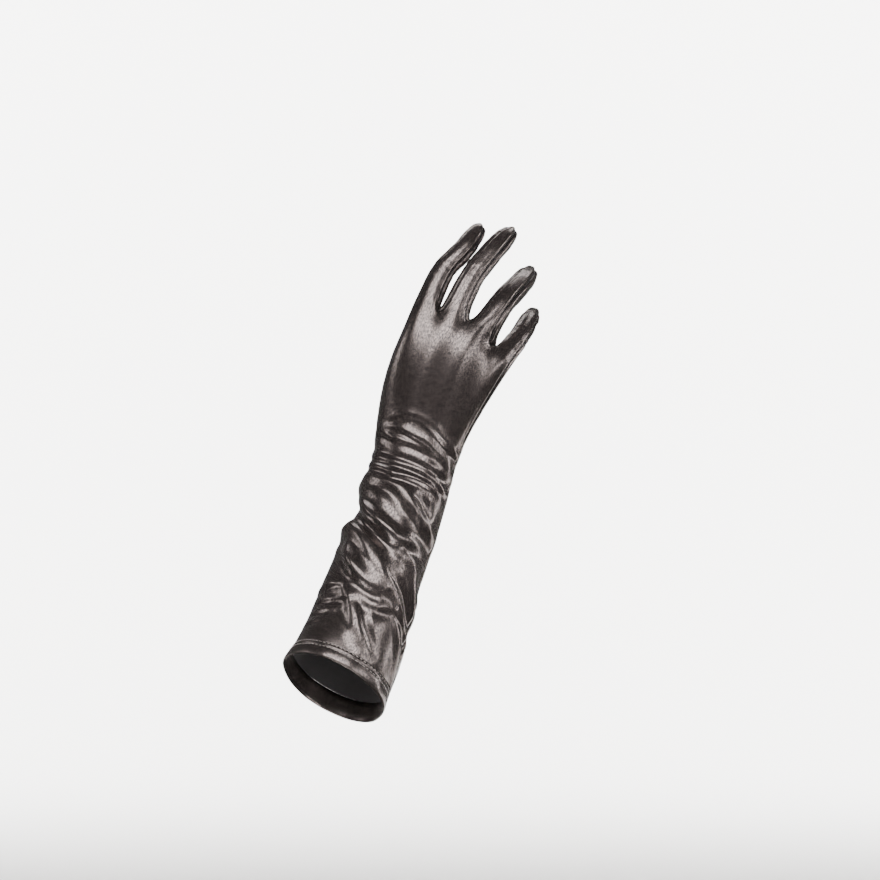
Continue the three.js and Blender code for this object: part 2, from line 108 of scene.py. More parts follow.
# The rings down a finger: the bone, how far along it, and the shares of its half width.
# A ring with past_web stands that far past the webs.
KNUCKLE_RING = {"bone": 0, "along": 0, "wide": 1.12, "deep": 1.22}
WEB_RING = {"bone": 0, "past_web": 0, "wide": 1.06, "deep": 1.16}
FINGER_RINGS = [
    {"bone": 0, "past_web": 0.2, "wide": 1.0, "deep": 1.07},
    {"bone": 1, "along": 0, "wide": 1.0, "deep": 0.93},
    {"bone": 1, "along": 0.5, "wide": 0.92, "deep": 0.86},
    {"bone": 2, "along": 0, "wide": 0.9, "deep": 0.8},
    {"bone": 2, "along": 0.5, "wide": 0.84, "deep": 0.76},
    {"bone": 2, "along": 0.88, "wide": 0.58, "deep": 0.5},
]
# How far along the last bone the corner at a tip lies, which smoothing then draws back.
TIP_REACH = 1.06
# The thumb: its joints, the angle of its first corner, and its rings, with half the width and
# half the depth of each in millimetres.
THUMB_JOINTS = [(46.5, 84, 183), (49, 102, 203), (60.2, 122, 226.1), (73, 132, 249)]
THUMB_START = -50
THUMB_RINGS = [
    {"bone": 1, "along": 0, "wide": 13.0, "deep": 13.5},
    {"bone": 1, "along": 0.5, "wide": 10.2, "deep": 10.2},
    {"bone": 2, "along": 0, "wide": 9.8, "deep": 9.0},
    {"bone": 2, "along": 0.5, "wide": 9.2, "deep": 7.8},
    {"bone": 2, "along": 0.86, "wide": 6.4, "deep": 5.2},
]
# The ring at the thumb's root lies this share of the way from the palm to the first ring, and
# is this much larger than that place would give.
THUMB_ROOT = 0.5
THUMB_ROOT_SWELL = 1.12
# The hand's rows and columns that the thumb's opening lies between, and how far its corners
# are drawn in, to make it oval.
THUMB_ROWS = (2, 4)
THUMB_COLUMNS = (16, 19)
ROUNDING = 0.22

# The columns round the hand end in a corner of a finger's ring or in a web.
COLUMNS = [
    ("index", 180), ("index", 135), ("index", 90), (0, "back"), ("middle", 90),
    (1, "back"), ("ring", 90), (2, "back"), ("little", 90), ("little", 45),
    ("little", 0), ("little", -45), ("little", -90), (2, "palm"), ("ring", -90),
    (1, "palm"), ("middle", -90), (0, "palm"), ("index", -90), ("index", -135),
]
# The first columns belong to the back, and the rest to the palm.
BACK_COLUMNS = 10
# The webs: how far each sinks from the back towards the wrist, and rises on the palm's side.
WEBS = [
    {"pair": ("index", "middle"), "sink": 6, "rise": 4},
    {"pair": ("middle", "ring"), "sink": 4, "rise": 5},
    {"pair": ("ring", "little"), "sink": 4, "rise": 3},
]
# How far the satin stands out of the hollows between the knuckles.
FILL = {"back": 2.4, "palm": 3}
# The angles of the corners of a finger's ring, and further down the piece that each side of
# the ring, from one corner to the next, belongs to.
CORNERS = [180, 135, 90, 45, 0, -45, -90, -135]
PIECES = [
    "back_panel", "palm_panel", "fourchette_index_middle", "fourchette_middle_ring",
    "fourchette_ring_little", "thumb_panel",
]
BACK, PALM, IM, MR, RL, THUMB = range(len(PIECES))
FINGER_PIECES = {
    "index": [BACK, BACK, BACK, IM, IM, PALM, PALM, PALM],
    "middle": [IM, BACK, BACK, MR, MR, PALM, PALM, IM],
    "ring": [MR, BACK, BACK, RL, RL, PALM, PALM, MR],
    "little": [RL, BACK, BACK, BACK, PALM, PALM, PALM, RL],
}
# A place up the arm that no fold reaches.
BEYOND_FOLDS = 400

# The folds of the sleeve. A fold follows the smooth line through its places. A place is the
# degrees round the arm, the millimetres up it and the fold's height there: 0 degrees is the
# seam on the little finger's side, 90 the back, 180 the thumb's side and 270 the palm. Before
# its places stands how far it reaches from its line. Slack swells out on both sides of its line.
SLACK = [
    (15, [(255, 130, 0), (215, 140, 3.4), (180, 145, 4.8), (140, 143, 3.4), (100, 136, 1.6),
        (60, 124, 0.8), (30, 112, 0)]),
    (13, [(240, 92, 0), (205, 99, 1.8), (170, 105, 2.6), (135, 106, 2), (100, 101, 1), (60, 96, 0)]),
    (10, [(110, 106, 0), (80, 100, 1.2), (50, 91, 2.2), (20, 74, 2.2), (0, 60, 1.4), (-15, 50, 0)]),
    (9, [(185, 98, 0), (150, 92, 2.2), (110, 80, 2.6), (80, 70, 1.8), (45, 58, 0)]),
    (9, [(165, 72, 0), (130, 66, 1), (105, 55, 1.6), (88, 38, 1.4), (70, 18, 0)]),
    (8, [(45, 66, 0), (30, 54, 1.4), (15, 38, 1.8), (5, 22, 1.4), (0, 8, 0)]),
    (13, [(340, 130, 0), (305, 121, 2.4), (270, 117, 3), (235, 120, 2.6), (200, 126, 0)]),
    (12, [(350, 60, 0), (310, 70, 2.4), (275, 78, 3.2), (240, 87, 2.6), (205, 96, 0)]),
    (10, [(335, 32, 0), (300, 37, 1.8), (270, 42, 2.2), (235, 51, 1.6), (200, 62, 0)]),
]
# A wrinkle steps the satin down across its line: out above it and in below it.
WRINKLES = [
    (2.2, [(150, 187, 0), (118, 192, 0.3), (98, 195, 0.4), (68, 191, 0.5), (40, 185, 0.6),
        (15, 181, 0.6), (-8, 178, 0)]),
    (2.0, [(158, 184, 0), (115, 184.5, 0.65), (91, 183, 0.72), (70, 181, 0.58), (35, 175, 0)]),
    (3.0, [(175, 180, 0), (142, 179.5, 0.87), (116, 177, 1.1), (87, 177, 0.87), (58, 175, 0.72),
        (30, 171, 0.58), (0, 166, 0)]),
    (3.8, [(190, 173, 0), (153, 172, 0.87), (111, 170, 1.2), (81, 169, 1.1), (51, 166, 0.94),
        (15, 163, 0.72), (-12, 160, 0)]),
    (2.2, [(210, 166, 0), (178, 164.5, 0.72), (119, 162.5, 0.94), (94, 162, 0.87), (71, 161, 0.94),
        (46, 158, 0.87), (25, 153, 0.65), (0, 148, 0)]),
    (2.6, [(215, 158, 0), (180, 158, 0.87), (121, 155, 1.2), (101, 153, 1.2), (82, 153.5, 1),
        (59, 153, 0.87), (43, 151, 0.72), (15, 146, 0)]),
    (5.0, [(190, 156, 0), (164, 151, 1), (123, 147, 1.6), (96, 143, 1.9), (70, 132, 1.7),
        (47, 124, 1.4), (18, 116, 1), (-12, 108, 0)]),
    (4.6, [(168, 128, 0), (150, 122, 1), (126, 115, 1.6), (94, 107, 1.9), (66, 98, 1.7), (40, 92, 1.6),
        (22, 80, 1.6), (8, 63, 1.2), (0, 48, 0)]),
    (5.8, [(165, 109, 0), (140, 103, 1.3), (111, 91, 1.9), (86, 79, 2), (63, 68, 1.6), (48, 62, 0.87),
        (32, 58, 0)]),
    (5.4, [(150, 92, 0), (140, 84, 1), (118, 71, 1.6), (101, 55, 1.7), (87, 39, 1.6), (72, 24, 1),
        (58, 13, 0)]),
    (3.6, [(98, 57, 0), (79, 53, 0.7), (61, 51, 0.9), (41, 54, 0.6), (22, 58, 0)]),
    (2.6, [(52, 69, 0), (41, 61, 1), (23, 52, 1.4), (0, 40, 1.4), (-6, 28, 1), (-8, 14, 0)]),
    (2.0, [(180, 59, 0), (156, 60, 0.5), (130, 62, 0.45), (112, 63, 0.25), (98, 64, 0)]),
    (1.8, [(165, 48, 0), (140, 50, 0.4), (104, 52, 0.3), (88, 53, 0)]),
    (1.8, [(162, 39, 0), (140, 41, 0.38), (112, 43, 0.25), (94, 44, 0)]),
    (1.8, [(168, 29, 0), (145, 31, 0.35), (122, 33, 0.2), (106, 34, 0)]),
    (3.0, [(355, 184, 0), (310, 182, 0.87), (270, 181, 1), (225, 184, 0.87), (195, 187, 0)]),
    (2.6, [(350, 174, 0), (300, 172, 1), (255, 173, 1), (215, 175, 0.72), (185, 176, 0)]),
    (3.0, [(352, 164, 0), (310, 162, 0.87), (270, 163, 1.2), (230, 165, 1), (190, 167, 0)]),
    (3.4, [(345, 152, 0), (300, 148, 1.3), (260, 147, 1.4), (215, 151, 1), (190, 155, 0)]),
    (4.2, [(340, 100, 0), (305, 96, 1.4), (270, 99, 1.7), (235, 106, 1.3), (200, 114, 0)]),
]
# A crease sinks the satin on both sides of its line.
CREASES = [
    (30, [(170, 54, 0), (145, 52, -1.6), (120, 49, -2.4), (97, 44, -1.8), (75, 38, 0)]),
    (6, [(92, 58, 0), (79, 50, -1.4), (68, 37, -2), (55, 27, -1.6), (40, 17, 0)]),
    (8, [(66, 149, 0), (52, 141, -2.2), (42, 134, -2), (32, 124, 0)]),
    (6, [(68, 86, 0), (59, 80, -0.9), (39, 72, -1.2), (18, 60, -0.9), (0, 46, 0)]),
]
# An overlap is a fold that hangs over the satin below it, steep under its edge.
OVERLAPS = [
    (4.4, [(210, 133, 0), (180, 131, 0.8), (150, 126, 1.9), (126, 118, 2.6), (102, 110, 2.6),
        (75, 104, 2.2), (50, 104, 1.4), (18, 108, 0)]),
    (4.2, [(200, 104, 0), (168, 102, 1), (140, 94, 1.7), (114, 77, 2), (97, 68, 2), (79, 62, 1.6),
        (55, 58, 0)]),
]
# The steps that a fold's line is drawn in between two places, and the length of a degree
# round the sleeve.
ROUTE_STEPS = 6
MM_PER_DEGREE = 0.55
# How many times its own width a fold can still be felt from its line.
FOLD_REACH = 4
SUBDIVISIONS = 3
# The creases that a bent finger presses into the satin: the joint, how far past it each
# lies, the angle round the finger that it is deepest at, and its size.
FINGER_CREASES = [
    {"joint": 1, "past": -3.5, "turn": -90, "wide": 3.4, "deep": 1.5},
    {"joint": 1, "past": 1.0, "turn": -90, "wide": 3.0, "deep": 1.9},
    {"joint": 1, "past": 5.0, "turn": -90, "wide": 3.0, "deep": 1.1},
    {"joint": 2, "past": -1.5, "turn": -90, "wide": 2.6, "deep": 1.2},
    {"joint": 2, "past": 2.2, "turn": -90, "wide": 2.6, "deep": 0.9},
    {"joint": 1, "past": -1.5, "turn": 90, "wide": 2.4, "deep": 0.25},
    {"joint": 1, "past": 2.5, "turn": 90, "wide": 2.4, "deep": 0.25},
]
# How near to a joint, and within how many degrees of its deepest angle, a crease can be felt.
CREASE_REACH = 15
CREASE_TURN = 115
# The points along a seam's edge that distances are measured to, how far its puckers reach,
# the ridge of satin beside it, and the gap between the two pieces.
SEAM_SAMPLES = 4
PUCKER_REACH = 4.0
PUCKER_SEED = 5
SEAM_RIDGE = {"high": 0.42, "from_seam": 2.4, "wide": 0.9}
SEAM_GAP = 0.12
# The satin lies tight on the hand and looser down the sleeve, where it ripples a little.
TIGHT_FROM = 195
TIGHTENS_OVER = 40
RIPPLES = [
    {"high": 0.2, "length": 34, "seed": 11},
    {"high": 0.03, "length": 12, "seed": 12},
]
RIPPLE_WAVES = 6
RIPPLE_PACES = (0.7, 1.4)


def glove_sizes():
    """The sizes set in the scene."""
    return bpy.context.scene.glove_sizes


def glove_colours():
    """The colours set in the scene."""
    return bpy.context.scene.glove_colours


def linear(hex_colour):
    """An sRGB hex value as linear red, green and blue."""
    parts = [int(hex_colour[i:i + 2], 16) / 255 for i in (1, 3, 5)]
    return tuple(c / 12.92 if c <= 0.04045 else ((c + 0.055) / 1.055) ** 2.4 for c in parts)


def vec(values):
    return np.array(values, float)


def unit(v):
    return v / np.linalg.norm(v)


def mix(a, b, t):
    return a + (b - a) * t


def cosd(degrees):
    return np.cos(np.radians(degrees))


def sind(degrees):
    return np.sin(np.radians(degrees))


def ring_growth(n):
    """How far out a ring of n corners starts, to end on its size when it is smoothed."""
    return 3 / (2 + cosd(360 / n))


def frame_of(axis, across, turn):
    """The two directions across an axis: towards the little finger and towards the back."""
    t = unit(axis)
    e1 = unit(across - t * np.dot(across, t))
    e1 = e1 * cosd(turn) - np.cross(t, e1) * sind(turn)
    return e1, np.cross(e1, t)


def oval_point(centre, across, wide, deep, degrees):
    """A point at an angle on the oval that stands on two directions."""
    return centre + across[0] * wide * cosd(degrees) + across[1] * deep * sind(degrees)


def column_angle(j):
    return 180 - 360 * j / len(COLUMNS)


class SleeveLine:
    """The smooth line through the middles of the sleeve's sections."""

    STEPS = 400

    def __init__(self):
        points = [vec(section["at"]) for section in SLEEVE]
        points = [2 * points[0] - points[1], *points, 2 * points[-1] - points[-2]]
        self.t = np.linspace(0, len(SLEEVE) - 1, self.STEPS + 1)
        self.points = np.array([self.between(points, t) for t in self.t])
        steps = np.linalg.norm(np.diff(self.points, axis=0), axis=1)
        self.travelled = np.concatenate([[0], np.cumsum(steps)])
        self.length = self.travelled[-1]

    @staticmethod
    def between(points, t):
        """The centripetal curve between the middle two of four neighbouring points."""
        i = min(int(t), len(points) - 4)
        p = points[i:i + 4]
        knots = [0.0]
        for a, b in zip(p, p[1:]):
            knots.append(knots[-1] + np.linalg.norm(b - a) ** 0.5)
        x = mix(knots[1], knots[2], t - i)
        lines = [mix(p[k], p[k + 1], (x - knots[k]) / (knots[k + 1] - knots[k])) for k in range(3)]
        bends = [mix(lines[k], lines[k + 1], (x - knots[k]) / (knots[k + 2] - knots[k])) for k in range(2)]
        return mix(bends[0], bends[1], (x - knots[1]) / (knots[2] - knots[1]))

    def place(self, along):
        return np.array([np.interp(along, self.travelled, self.points[:, k]) for k in range(3)])

    def at(self, along):
        """The place, the direction and the section number at a distance up the arm."""
        low, high = max(along - 1, 0), min(along + 1, self.length)
        direction = unit(self.place(high) - self.place(low))
        return self.place(along), direction, float(np.interp(along, self.travelled, self.t))


@lru_cache
def sleeve_line():
    return SleeveLine()


def sleeve_ring(along, degrees):
    """The points of the sleeve's surface at one distance up the arm and some angles."""
    line = sleeve_line()
    centre, axis, t = line.at(along)
    i = min(int(t), len(SLEEVE) - 2)
    wide, deep, lean, skew = (mix(SLEEVE[i][key], SLEEVE[i + 1][key], t - i)
                              for key in ("wide", "deep", "lean", "skew"))
    across = frame_of(axis, vec(ACROSS_ARM), SLEEVE_TURN)
    points = []
    for angle in degrees:
        p = oval_point(np.zeros(3), across, wide, deep, angle)
        lift = np.dot(p, across[1]) * math.tan(math.radians(lean))
        drop = np.dot(p, across[0]) * math.tan(math.radians(skew))
        points.append(centre + p + axis * (lift - drop))
    return points


def across_hand():
    return unit(vec(FINGERS["little"]["joints"][0]) - vec(FINGERS["index"]["joints"][0]))


def jointed_frame(joints, bone, along, turn):
    """The middle, the axis and the two directions across at a place on a finger's bone."""
    p = [vec(j) for j in joints]
    axis = unit(p[bone + 1] - p[bone])
    if along == 0 and bone > 0:
        axis = axis + unit(p[bone] - p[bone - 1])
    return mix(p[bone], p[bone + 1], along), unit(axis), frame_of(axis, across_hand(), turn)


def jointed_ring(joints, bone, along, wide, deep, turn, degrees):
    centre, _, across = jointed_frame(joints, bone, along, turn)
    grow = ring_growth(len(degrees))
    return [oval_point(centre, across, wide * grow, deep * grow, angle) for angle in degrees]


def finger_ring(name, ring):
    finger = FINGERS[name]
    along = ring["along"] if "along" in ring else finger["web"] + ring["past_web"]
    wide, deep = finger["wide"] * ring["wide"], finger["wide"] * ring["deep"]
    return jointed_ring(finger["joints"], ring["bone"], along, wide, deep, finger["turn"], CORNERS)


def finger_line(name):
    knuckle, joint = (vec(j) for j in FINGERS[name]["joints"][:2])
    return unit(joint - knuckle)


def corner_of(ring, degrees):
    return ring[CORNERS.index(degrees)]


def hand_ring(ring):
    """The hand's row at the knuckles or at the webs, from the rings of the four fingers."""
    points = []
    for key, corner in COLUMNS:
        if key in FINGERS:
            points.append(corner_of(finger_ring(key, ring), corner))
            continue
        web = WEBS[key]
        low, high = web["pair"]
        sign = 1 if corner == "back" else -1
        point = mix(corner_of(finger_ring(low, ring), 45 * sign),
                    corner_of(finger_ring(high, ring), 135 * sign), 0.5)
        if ring is KNUCKLE_RING:
            points.append(point + vec(OUT_OF_PALM) * (-FILL["back"] if corner == "back" else FILL["palm"]))
        else:
            points.append(point + finger_line(low) * (-web["sink"] if corner == "back" else web["rise"]))
    return points


class Net:
    """The coarse net that the satin is smoothed from. A corner holds its point and its
    place on the arm; a face holds its corners, its piece and its place on the flat cloth."""

    def __init__(self):
        self.points, self.places, self.faces, self.pieces, self.cloth = [], [], [], [], []

    def add_corners(self, points, degrees=None, along=BEYOND_FOLDS):
        first = len(self.points)
        for j, point in enumerate(points):
            angle = degrees[j] if degrees is not None else 0
            self.points.append(point)
            self.places.append((cosd(angle), sind(angle), along))
        return list(range(first, len(self.points)))

    def add_face(self, corners, piece, cloth):
        self.faces.append(corners)
        self.pieces.append(piece)
        self.cloth.append(cloth)

    def add_band(self, low, high, piece_of, girth, rows):
        """Faces between two rings. girth is the cloth's length round them, and rows the
        two distances along it."""
        step = girth / len(low)
        for j, corner in enumerate(low):
            after = (j + 1) % len(low)
            if piece_of(j) is None:
                continue
            left, right = j * step, (j + 1) * step
            cloth = [(left, rows[0]), (right, rows[0]), (right, rows[1]), (left, rows[1])]
            self.add_face([corner, low[after], high[after], high[j]], piece_of(j), cloth)

    def add_tip(self, ring, joints, piece_of, girth, rows):
        """The end of a finger or the thumb, closed round one corner."""
        tip = mix(vec(joints[-2]), vec(joints[-1]), TIP_REACH)
        [end] = self.add_corners([tip])
        step = girth / len(ring)
        for j, corner in enumerate(ring):
            cloth = [(j * step, rows[0]), ((j + 1) * step, rows[0]), ((j + 0.5) * step, rows[1])]
            self.add_face([corner, ring[(j + 1) % len(ring)], end], piece_of(j), cloth)


def girth_of(points):
    return sum(np.linalg.norm(b - a) for a, b in zip(points, [*points[1:], points[0]]))


def body_piece(j):
    return BACK if j < BACK_COLUMNS else PALM


def add_hand(net):
    """The sleeve and the hand, up to the row of the webs."""
    degrees = [column_angle(j) for j in range(len(COLUMNS))]
    grow = ring_growth(len(COLUMNS))
    length = sleeve_line().length
    rows = [*SLEEVE_ROWS, length]
    rings = []
    for along in rows:
        ring = sleeve_ring(along, degrees)
        middle = sum(ring) / len(ring)
        rings.append([middle + (p - middle) * grow for p in ring])
    wrist, knuckles = rings[-1], hand_ring(KNUCKLE_RING)
    hand_length = np.linalg.norm(wrist[0] - knuckles[0])
    places = rows[:-1]
    rings = rings[:-1]
    for row in HAND_ROWS:
        ring = []
        for j, p in enumerate(wrist):
            thumb_side, outer_side = max(0, -cosd(degrees[j])), max(0, cosd(degrees[j]))
            hump = row["mound"] * max(0, -sind(degrees[j] + MOUND_TURN)) ** 2 * thumb_side
            hump -= row["arch"] * max(0, sind(degrees[j])) ** ARCH_POWER
            spread = -row["out"] * thumb_side ** 2 - row["waist"] * outer_side ** 2
            moved = across_hand() * spread + vec(OUT_OF_PALM) * hump
            ring.append(mix(p, knuckles[j], row["share"]) + moved)
        rings.append(ring)
        places.append(length + row["share"] * hand_length)
    made = [net.add_corners(ring, degrees, along) for ring, along in zip(rings, places)]
    first_hand = len(SLEEVE_ROWS)
    for i in range(len(made) - 1):
        open_row = first_hand + THUMB_ROWS[0] <= i < first_hand + THUMB_ROWS[1]

        def piece_of(j):
            is_open = open_row and THUMB_COLUMNS[0] <= j < THUMB_COLUMNS[1]
            return None if is_open else body_piece(j)

        net.add_band(made[i], made[i + 1], piece_of, girth_of(rings[i]), places[i:i + 2])
    web_ring = hand_ring(WEB_RING)
    web_row = net.add_corners(web_ring)
    web_place = places[-1] + np.linalg.norm(web_ring[0] - rings[-1][0])
    net.add_band(made[-1], web_row, body_piece, girth_of(rings[-1]), (places[-1], web_place))
    return made[first_hand:], web_row, web_place


def add_fingers(net, web_row, web_place):
    """The fingers stand on the row of the webs, where two neighbours share the web between."""
    saddles = []
    for web in WEBS:
        low, high = web["pair"]
        point = mix(corner_of(finger_ring(low, WEB_RING), 0),
                    corner_of(finger_ring(high, WEB_RING), 180), 0.5)
        saddles += net.add_corners([point + finger_line(low) * (web["rise"] - web["sink"]) / 2])

    def root_corner(name, degrees):
        if (name, degrees) in COLUMNS:
            return web_row[COLUMNS.index((name, degrees))]
        side = 0 if abs(degrees) < 90 else 1
        web = next(i for i, w in enumerate(WEBS) if w["pair"][side] == name)
        if degrees in (0, 180):
            return saddles[web]
        return web_row[COLUMNS.index((web, "back" if degrees > 0 else "palm"))]

    for name, finger in FINGERS.items():
        low = [root_corner(name, degrees) for degrees in CORNERS]
        below, row = finger_ring(name, WEB_RING), web_place
        piece_of = FINGER_PIECES[name].__getitem__
        for ring in FINGER_RINGS:
            points = finger_ring(name, ring)
            high = net.add_corners(points)
            above = row + np.linalg.norm(points[2] - below[2])
            net.add_band(low, high, piece_of, girth_of(points), (row, above))
            low, below, row = high, points, above
        net.add_tip(low, finger["joints"], piece_of, girth_of(below), (row, row + finger["wide"]))


def add_thumb(net, hand_rows):
    """The thumb stands on the rim of the opening in the palm, and turns round to its rings."""
    (first_row, last_row), (first, last) = THUMB_ROWS, THUMB_COLUMNS
    rim = [hand_rows[first_row][c] for c in range(first, last)]
    rim += [hand_rows[r][last] for r in range(first_row, last_row)]
    rim += [hand_rows[last_row][c] for c in range(last, first, -1)]
    rim += [hand_rows[r][first] for r in range(last_row, first_row, -1)]
    middle = sum(net.points[i] for i in rim) / len(rim)
    for row in THUMB_ROWS:
        for column in THUMB_COLUMNS:
            corner = hand_rows[row][column]
            net.points[corner] = mix(net.points[corner], middle, ROUNDING)
    degrees = [THUMB_START - 360 * j / len(rim) for j in range(len(rim))]
    rings = [jointed_ring(THUMB_JOINTS, r["bone"], r["along"], r["wide"], r["deep"], 0, degrees)
             for r in THUMB_RINGS]
    root = [mix(net.points[i], rings[0][j], THUMB_ROOT) for j, i in enumerate(rim)]
    root_middle = sum(root) / len(root)
    rings.insert(0, [root_middle + (p - root_middle) * THUMB_ROOT_SWELL for p in root])
    low, below, row = rim, [net.points[i] for i in rim], 0.0
    for points in rings:
        high = net.add_corners(points)
        above = row + np.linalg.norm(sum(points) / len(points) - sum(below) / len(below))
        net.add_band(low, high, lambda j: THUMB, girth_of(points), (row, above))
        low, below, row = high, points, above
    net.add_tip(low, THUMB_JOINTS, lambda j: THUMB, girth_of(below), (row, row + THUMB_RINGS[-1]["wide"]))


def object_of(name, points, faces):
    """A new mesh object at the origin, from points in millimetres."""
    mesh = bpy.data.meshes.new(name)
    mesh.from_pydata([tuple(p) for p in np.asarray(points) * MM], [], faces)
    made = bpy.data.objects.new(name, mesh)
    bpy.context.scene.collection.objects.link(made)
    return made


def make_active(piece):
    bpy.ops.object.select_all(action="DESELECT")
    piece.select_set(True)
    bpy.context.view_layer.objects.active = piece


def apply_modifier(piece, kind, **settings):
    """Adds a modifier with its settings and applies it."""
    modifier = piece.modifiers.new(kind.title(), kind)
    for key, value in settings.items():
        setattr(modifier, key, value)
    make_active(piece)
    bpy.ops.object.modifier_apply(modifier=modifier.name)


def read_points(mesh):
    values = np.zeros(len(mesh.vertices) * 3)
    mesh.vertices.foreach_get("co", values)
    return values.reshape(-1, 3) / MM


def vertex_normals(points, quads):
    """The direction out of the surface at every point."""
    across = np.cross(points[quads[:, 2]] - points[quads[:, 0]], points[quads[:, 3]] - points[quads[:, 1]])
    normals = np.zeros_like(points)
    for k in range(4):
        np.add.at(normals, quads[:, k], across)
    return normals / np.linalg.norm(normals, axis=1, keepdims=True)


def swell(away):
    """The height of a round swelling at a distance from its line, in shares of its reach."""
    return 0.5 + 0.5 * np.cos(np.pi * np.minimum(np.abs(away), 1))


def step_down(away):
    """The height of a step: out on the side above its line, in below it, and level far off."""
    return away * np.exp(0.5 - 0.5 * away ** 2)


def smooth_route(places):
    """The smooth line through a fold's places, as many short steps."""
    p = vec(places)
    p = np.vstack([2 * p[0] - p[1], p, 2 * p[-1] - p[-2]])
    t = np.linspace(0, 1, ROUTE_STEPS, endpoint=False)[:, None]
    spans = []
    for a, b, c, d in zip(p, p[1:], p[2:], p[3:]):
        bend = (2 * a - 5 * b + 4 * c - d) * t ** 2 + (3 * b - a - 3 * c + d) * t ** 3
        spans.append(b + ((c - a) * t + bend) / 2)
    return np.vstack([*spans, p[-2:-1]])


def nearest_on_route(turn, up, route):
    """The distance from each place to a fold's line, more than 0 above it, and how many steps
    along the line it is. turn and up lead from each point of the line to the place."""
    step_turn = np.diff(route[:, 0]) * MM_PER_DEGREE
    step_up = np.diff(route[:, 1])
    square = step_turn ** 2 + step_up ** 2
    share = np.clip((turn[:, :-1] * step_turn + up[:, :-1] * step_up) / square, 0, 1)
    away = np.hypot(turn[:, :-1] - share * step_turn, up[:, :-1] - share * step_up)
    best = away.argmin(axis=1)
    rows = np.arange(len(best))
    side = np.sign(step_up[best] * turn[rows, best] - step_turn[best] * up[rows, best])
    return away[rows, best] * side, best + share[rows, best]


def fold_lift(folds, profile, degrees, along):
    """How far the folds lift the satin at each place on the sleeve."""
    lift = np.zeros_like(along)
    for wide, places in folds:
        route = smooth_route(places)
        reach = FOLD_REACH * wide
        near = np.nonzero((along > route[:, 1].min() - reach) & (along < route[:, 1].max() + reach))[0]
        turn = (degrees[near, None] - route[None, :, 0] + 180) % 360 - 180
        up = along[near, None] - route[None, :, 1]
        away, steps = nearest_on_route(turn * MM_PER_DEGREE, up, route)
        high = np.interp(steps, np.arange(len(route)), route[:, 2])
        lift[near] += high * profile(away / wide)
    return lift


def finger_creases(points):
    """How far the creases at the fingers' joints sink the satin at each point."""
    sink = np.zeros(len(points))
    fingers = [(f["joints"], f["turn"], f["wide"]) for f in FINGERS.values()]
    for joints, turn, wide in [*fingers, (THUMB_JOINTS, 0, THUMB_RINGS[2]["wide"])]:
        for crease in FINGER_CREASES:
            centre, axis, across = jointed_frame(joints, crease["joint"], 0, turn)
            away = points - centre
            up = away @ axis
            round_it = np.degrees(np.arctan2(away @ across[1], away @ across[0]))
            near = np.linalg.norm(away, axis=1) < CREASE_REACH + wide / 2
            wave = np.clip(1 - np.abs(up - crease["past"]) / crease["wide"], 0, 1)
            turned = np.abs((round_it - crease["turn"] + 180) % 360 - 180)
            window = np.clip(1 - turned / CREASE_TURN, 0, 1)
            sink += np.where(near, crease["deep"] * wave ** 2 * (3 - 2 * wave) * window, 0)
    return sink


def ripple(points, length, seed):
    """A smooth wave of about -1 to 1 that wanders, with its crests about a length apart."""
    rng = np.random.default_rng(seed)
    total = np.zeros(len(points))
    for _ in range(RIPPLE_WAVES):
        direction = unit(rng.normal(size=3))
        pace = 2 * np.pi / length * rng.uniform(*RIPPLE_PACES)
        total += np.sin(points @ direction * pace + rng.uniform(0, 2 * np.pi))
    return total / (RIPPLE_WAVES / 2)


def edge_owners(quads, owners):
    """Every edge of the quads, with the owners of the quads that meet there."""
    sides = {}
    for quad, owner in zip(quads, owners):
        for k in range(4):
            a, b = int(quad[k]), int(quad[(k + 1) % 4])
            sides.setdefault((min(a, b), max(a, b)), []).append(owner)
    return sides


def seam_distance(points, quads, pieces):
    """The distance from each point to the nearest seam, which is an edge between two pieces."""
    seams = [edge for edge, owners in edge_owners(quads, pieces).items() if len(set(owners)) > 1]
    tree = KDTree(len(seams) * SEAM_SAMPLES)
    for n, (a, b) in enumerate(seams):
        for k in range(SEAM_SAMPLES):
            tree.insert(Vector(mix(points[a], points[b], k / SEAM_SAMPLES)), n * SEAM_SAMPLES + k)
    tree.balance()
    return np.array([tree.find(Vector(p))[2] for p in points])


def smooth_net():
    """The glove's net smoothed: its points with their places on the arm, and its quads with
    their pieces and their places on the flat cloth."""
    net = Net()
    hand_rows, web_row, web_place = add_hand(net)
    add_fingers(net, web_row, web_place)
    add_thumb(net, hand_rows)
    used = sorted({i for face in net.faces for i in face})
    renumber = {old: new for new, old in enumerate(used)}
    faces = [[renumber[i] for i in face] for face in net.faces]
    cage = object_of("satin_surface", [net.points[i] for i in used], faces)
    place = cage.data.attributes.new("place", "FLOAT_VECTOR", "POINT")
    place.data.foreach_set("vector", vec([net.places[i] for i in used]).ravel())
    cage.data.polygons.foreach_set("material_index", net.pieces)
    cloth = cage.data.uv_layers.new(name="cloth")
    flat = vec([corner for face in net.cloth for corner in face]) * MM
    cloth.data.foreach_set("uv", flat.ravel())
    for _ in PIECES:
        cage.data.materials.append(None)
    apply_modifier(cage, "SUBSURF", levels=SUBDIVISIONS, render_levels=SUBDIVISIONS, uv_smooth="NONE")
    mesh = cage.data
    points = read_points(mesh)
    quads = np.array([tuple(p.vertices) for p in mesh.polygons])
    pieces = np.array([p.material_index for p in mesh.polygons])
    places = np.zeros(len(points) * 3)
    mesh.attributes["place"].data.foreach_get("vector", places)
    uv = np.zeros(len(mesh.loops) * 2)
    mesh.uv_layers["cloth"].data.foreach_get("uv", uv)
    bpy.data.objects.remove(cage)
    return points, places.reshape(-1, 3), quads, pieces, uv.reshape(-1, 4, 2)


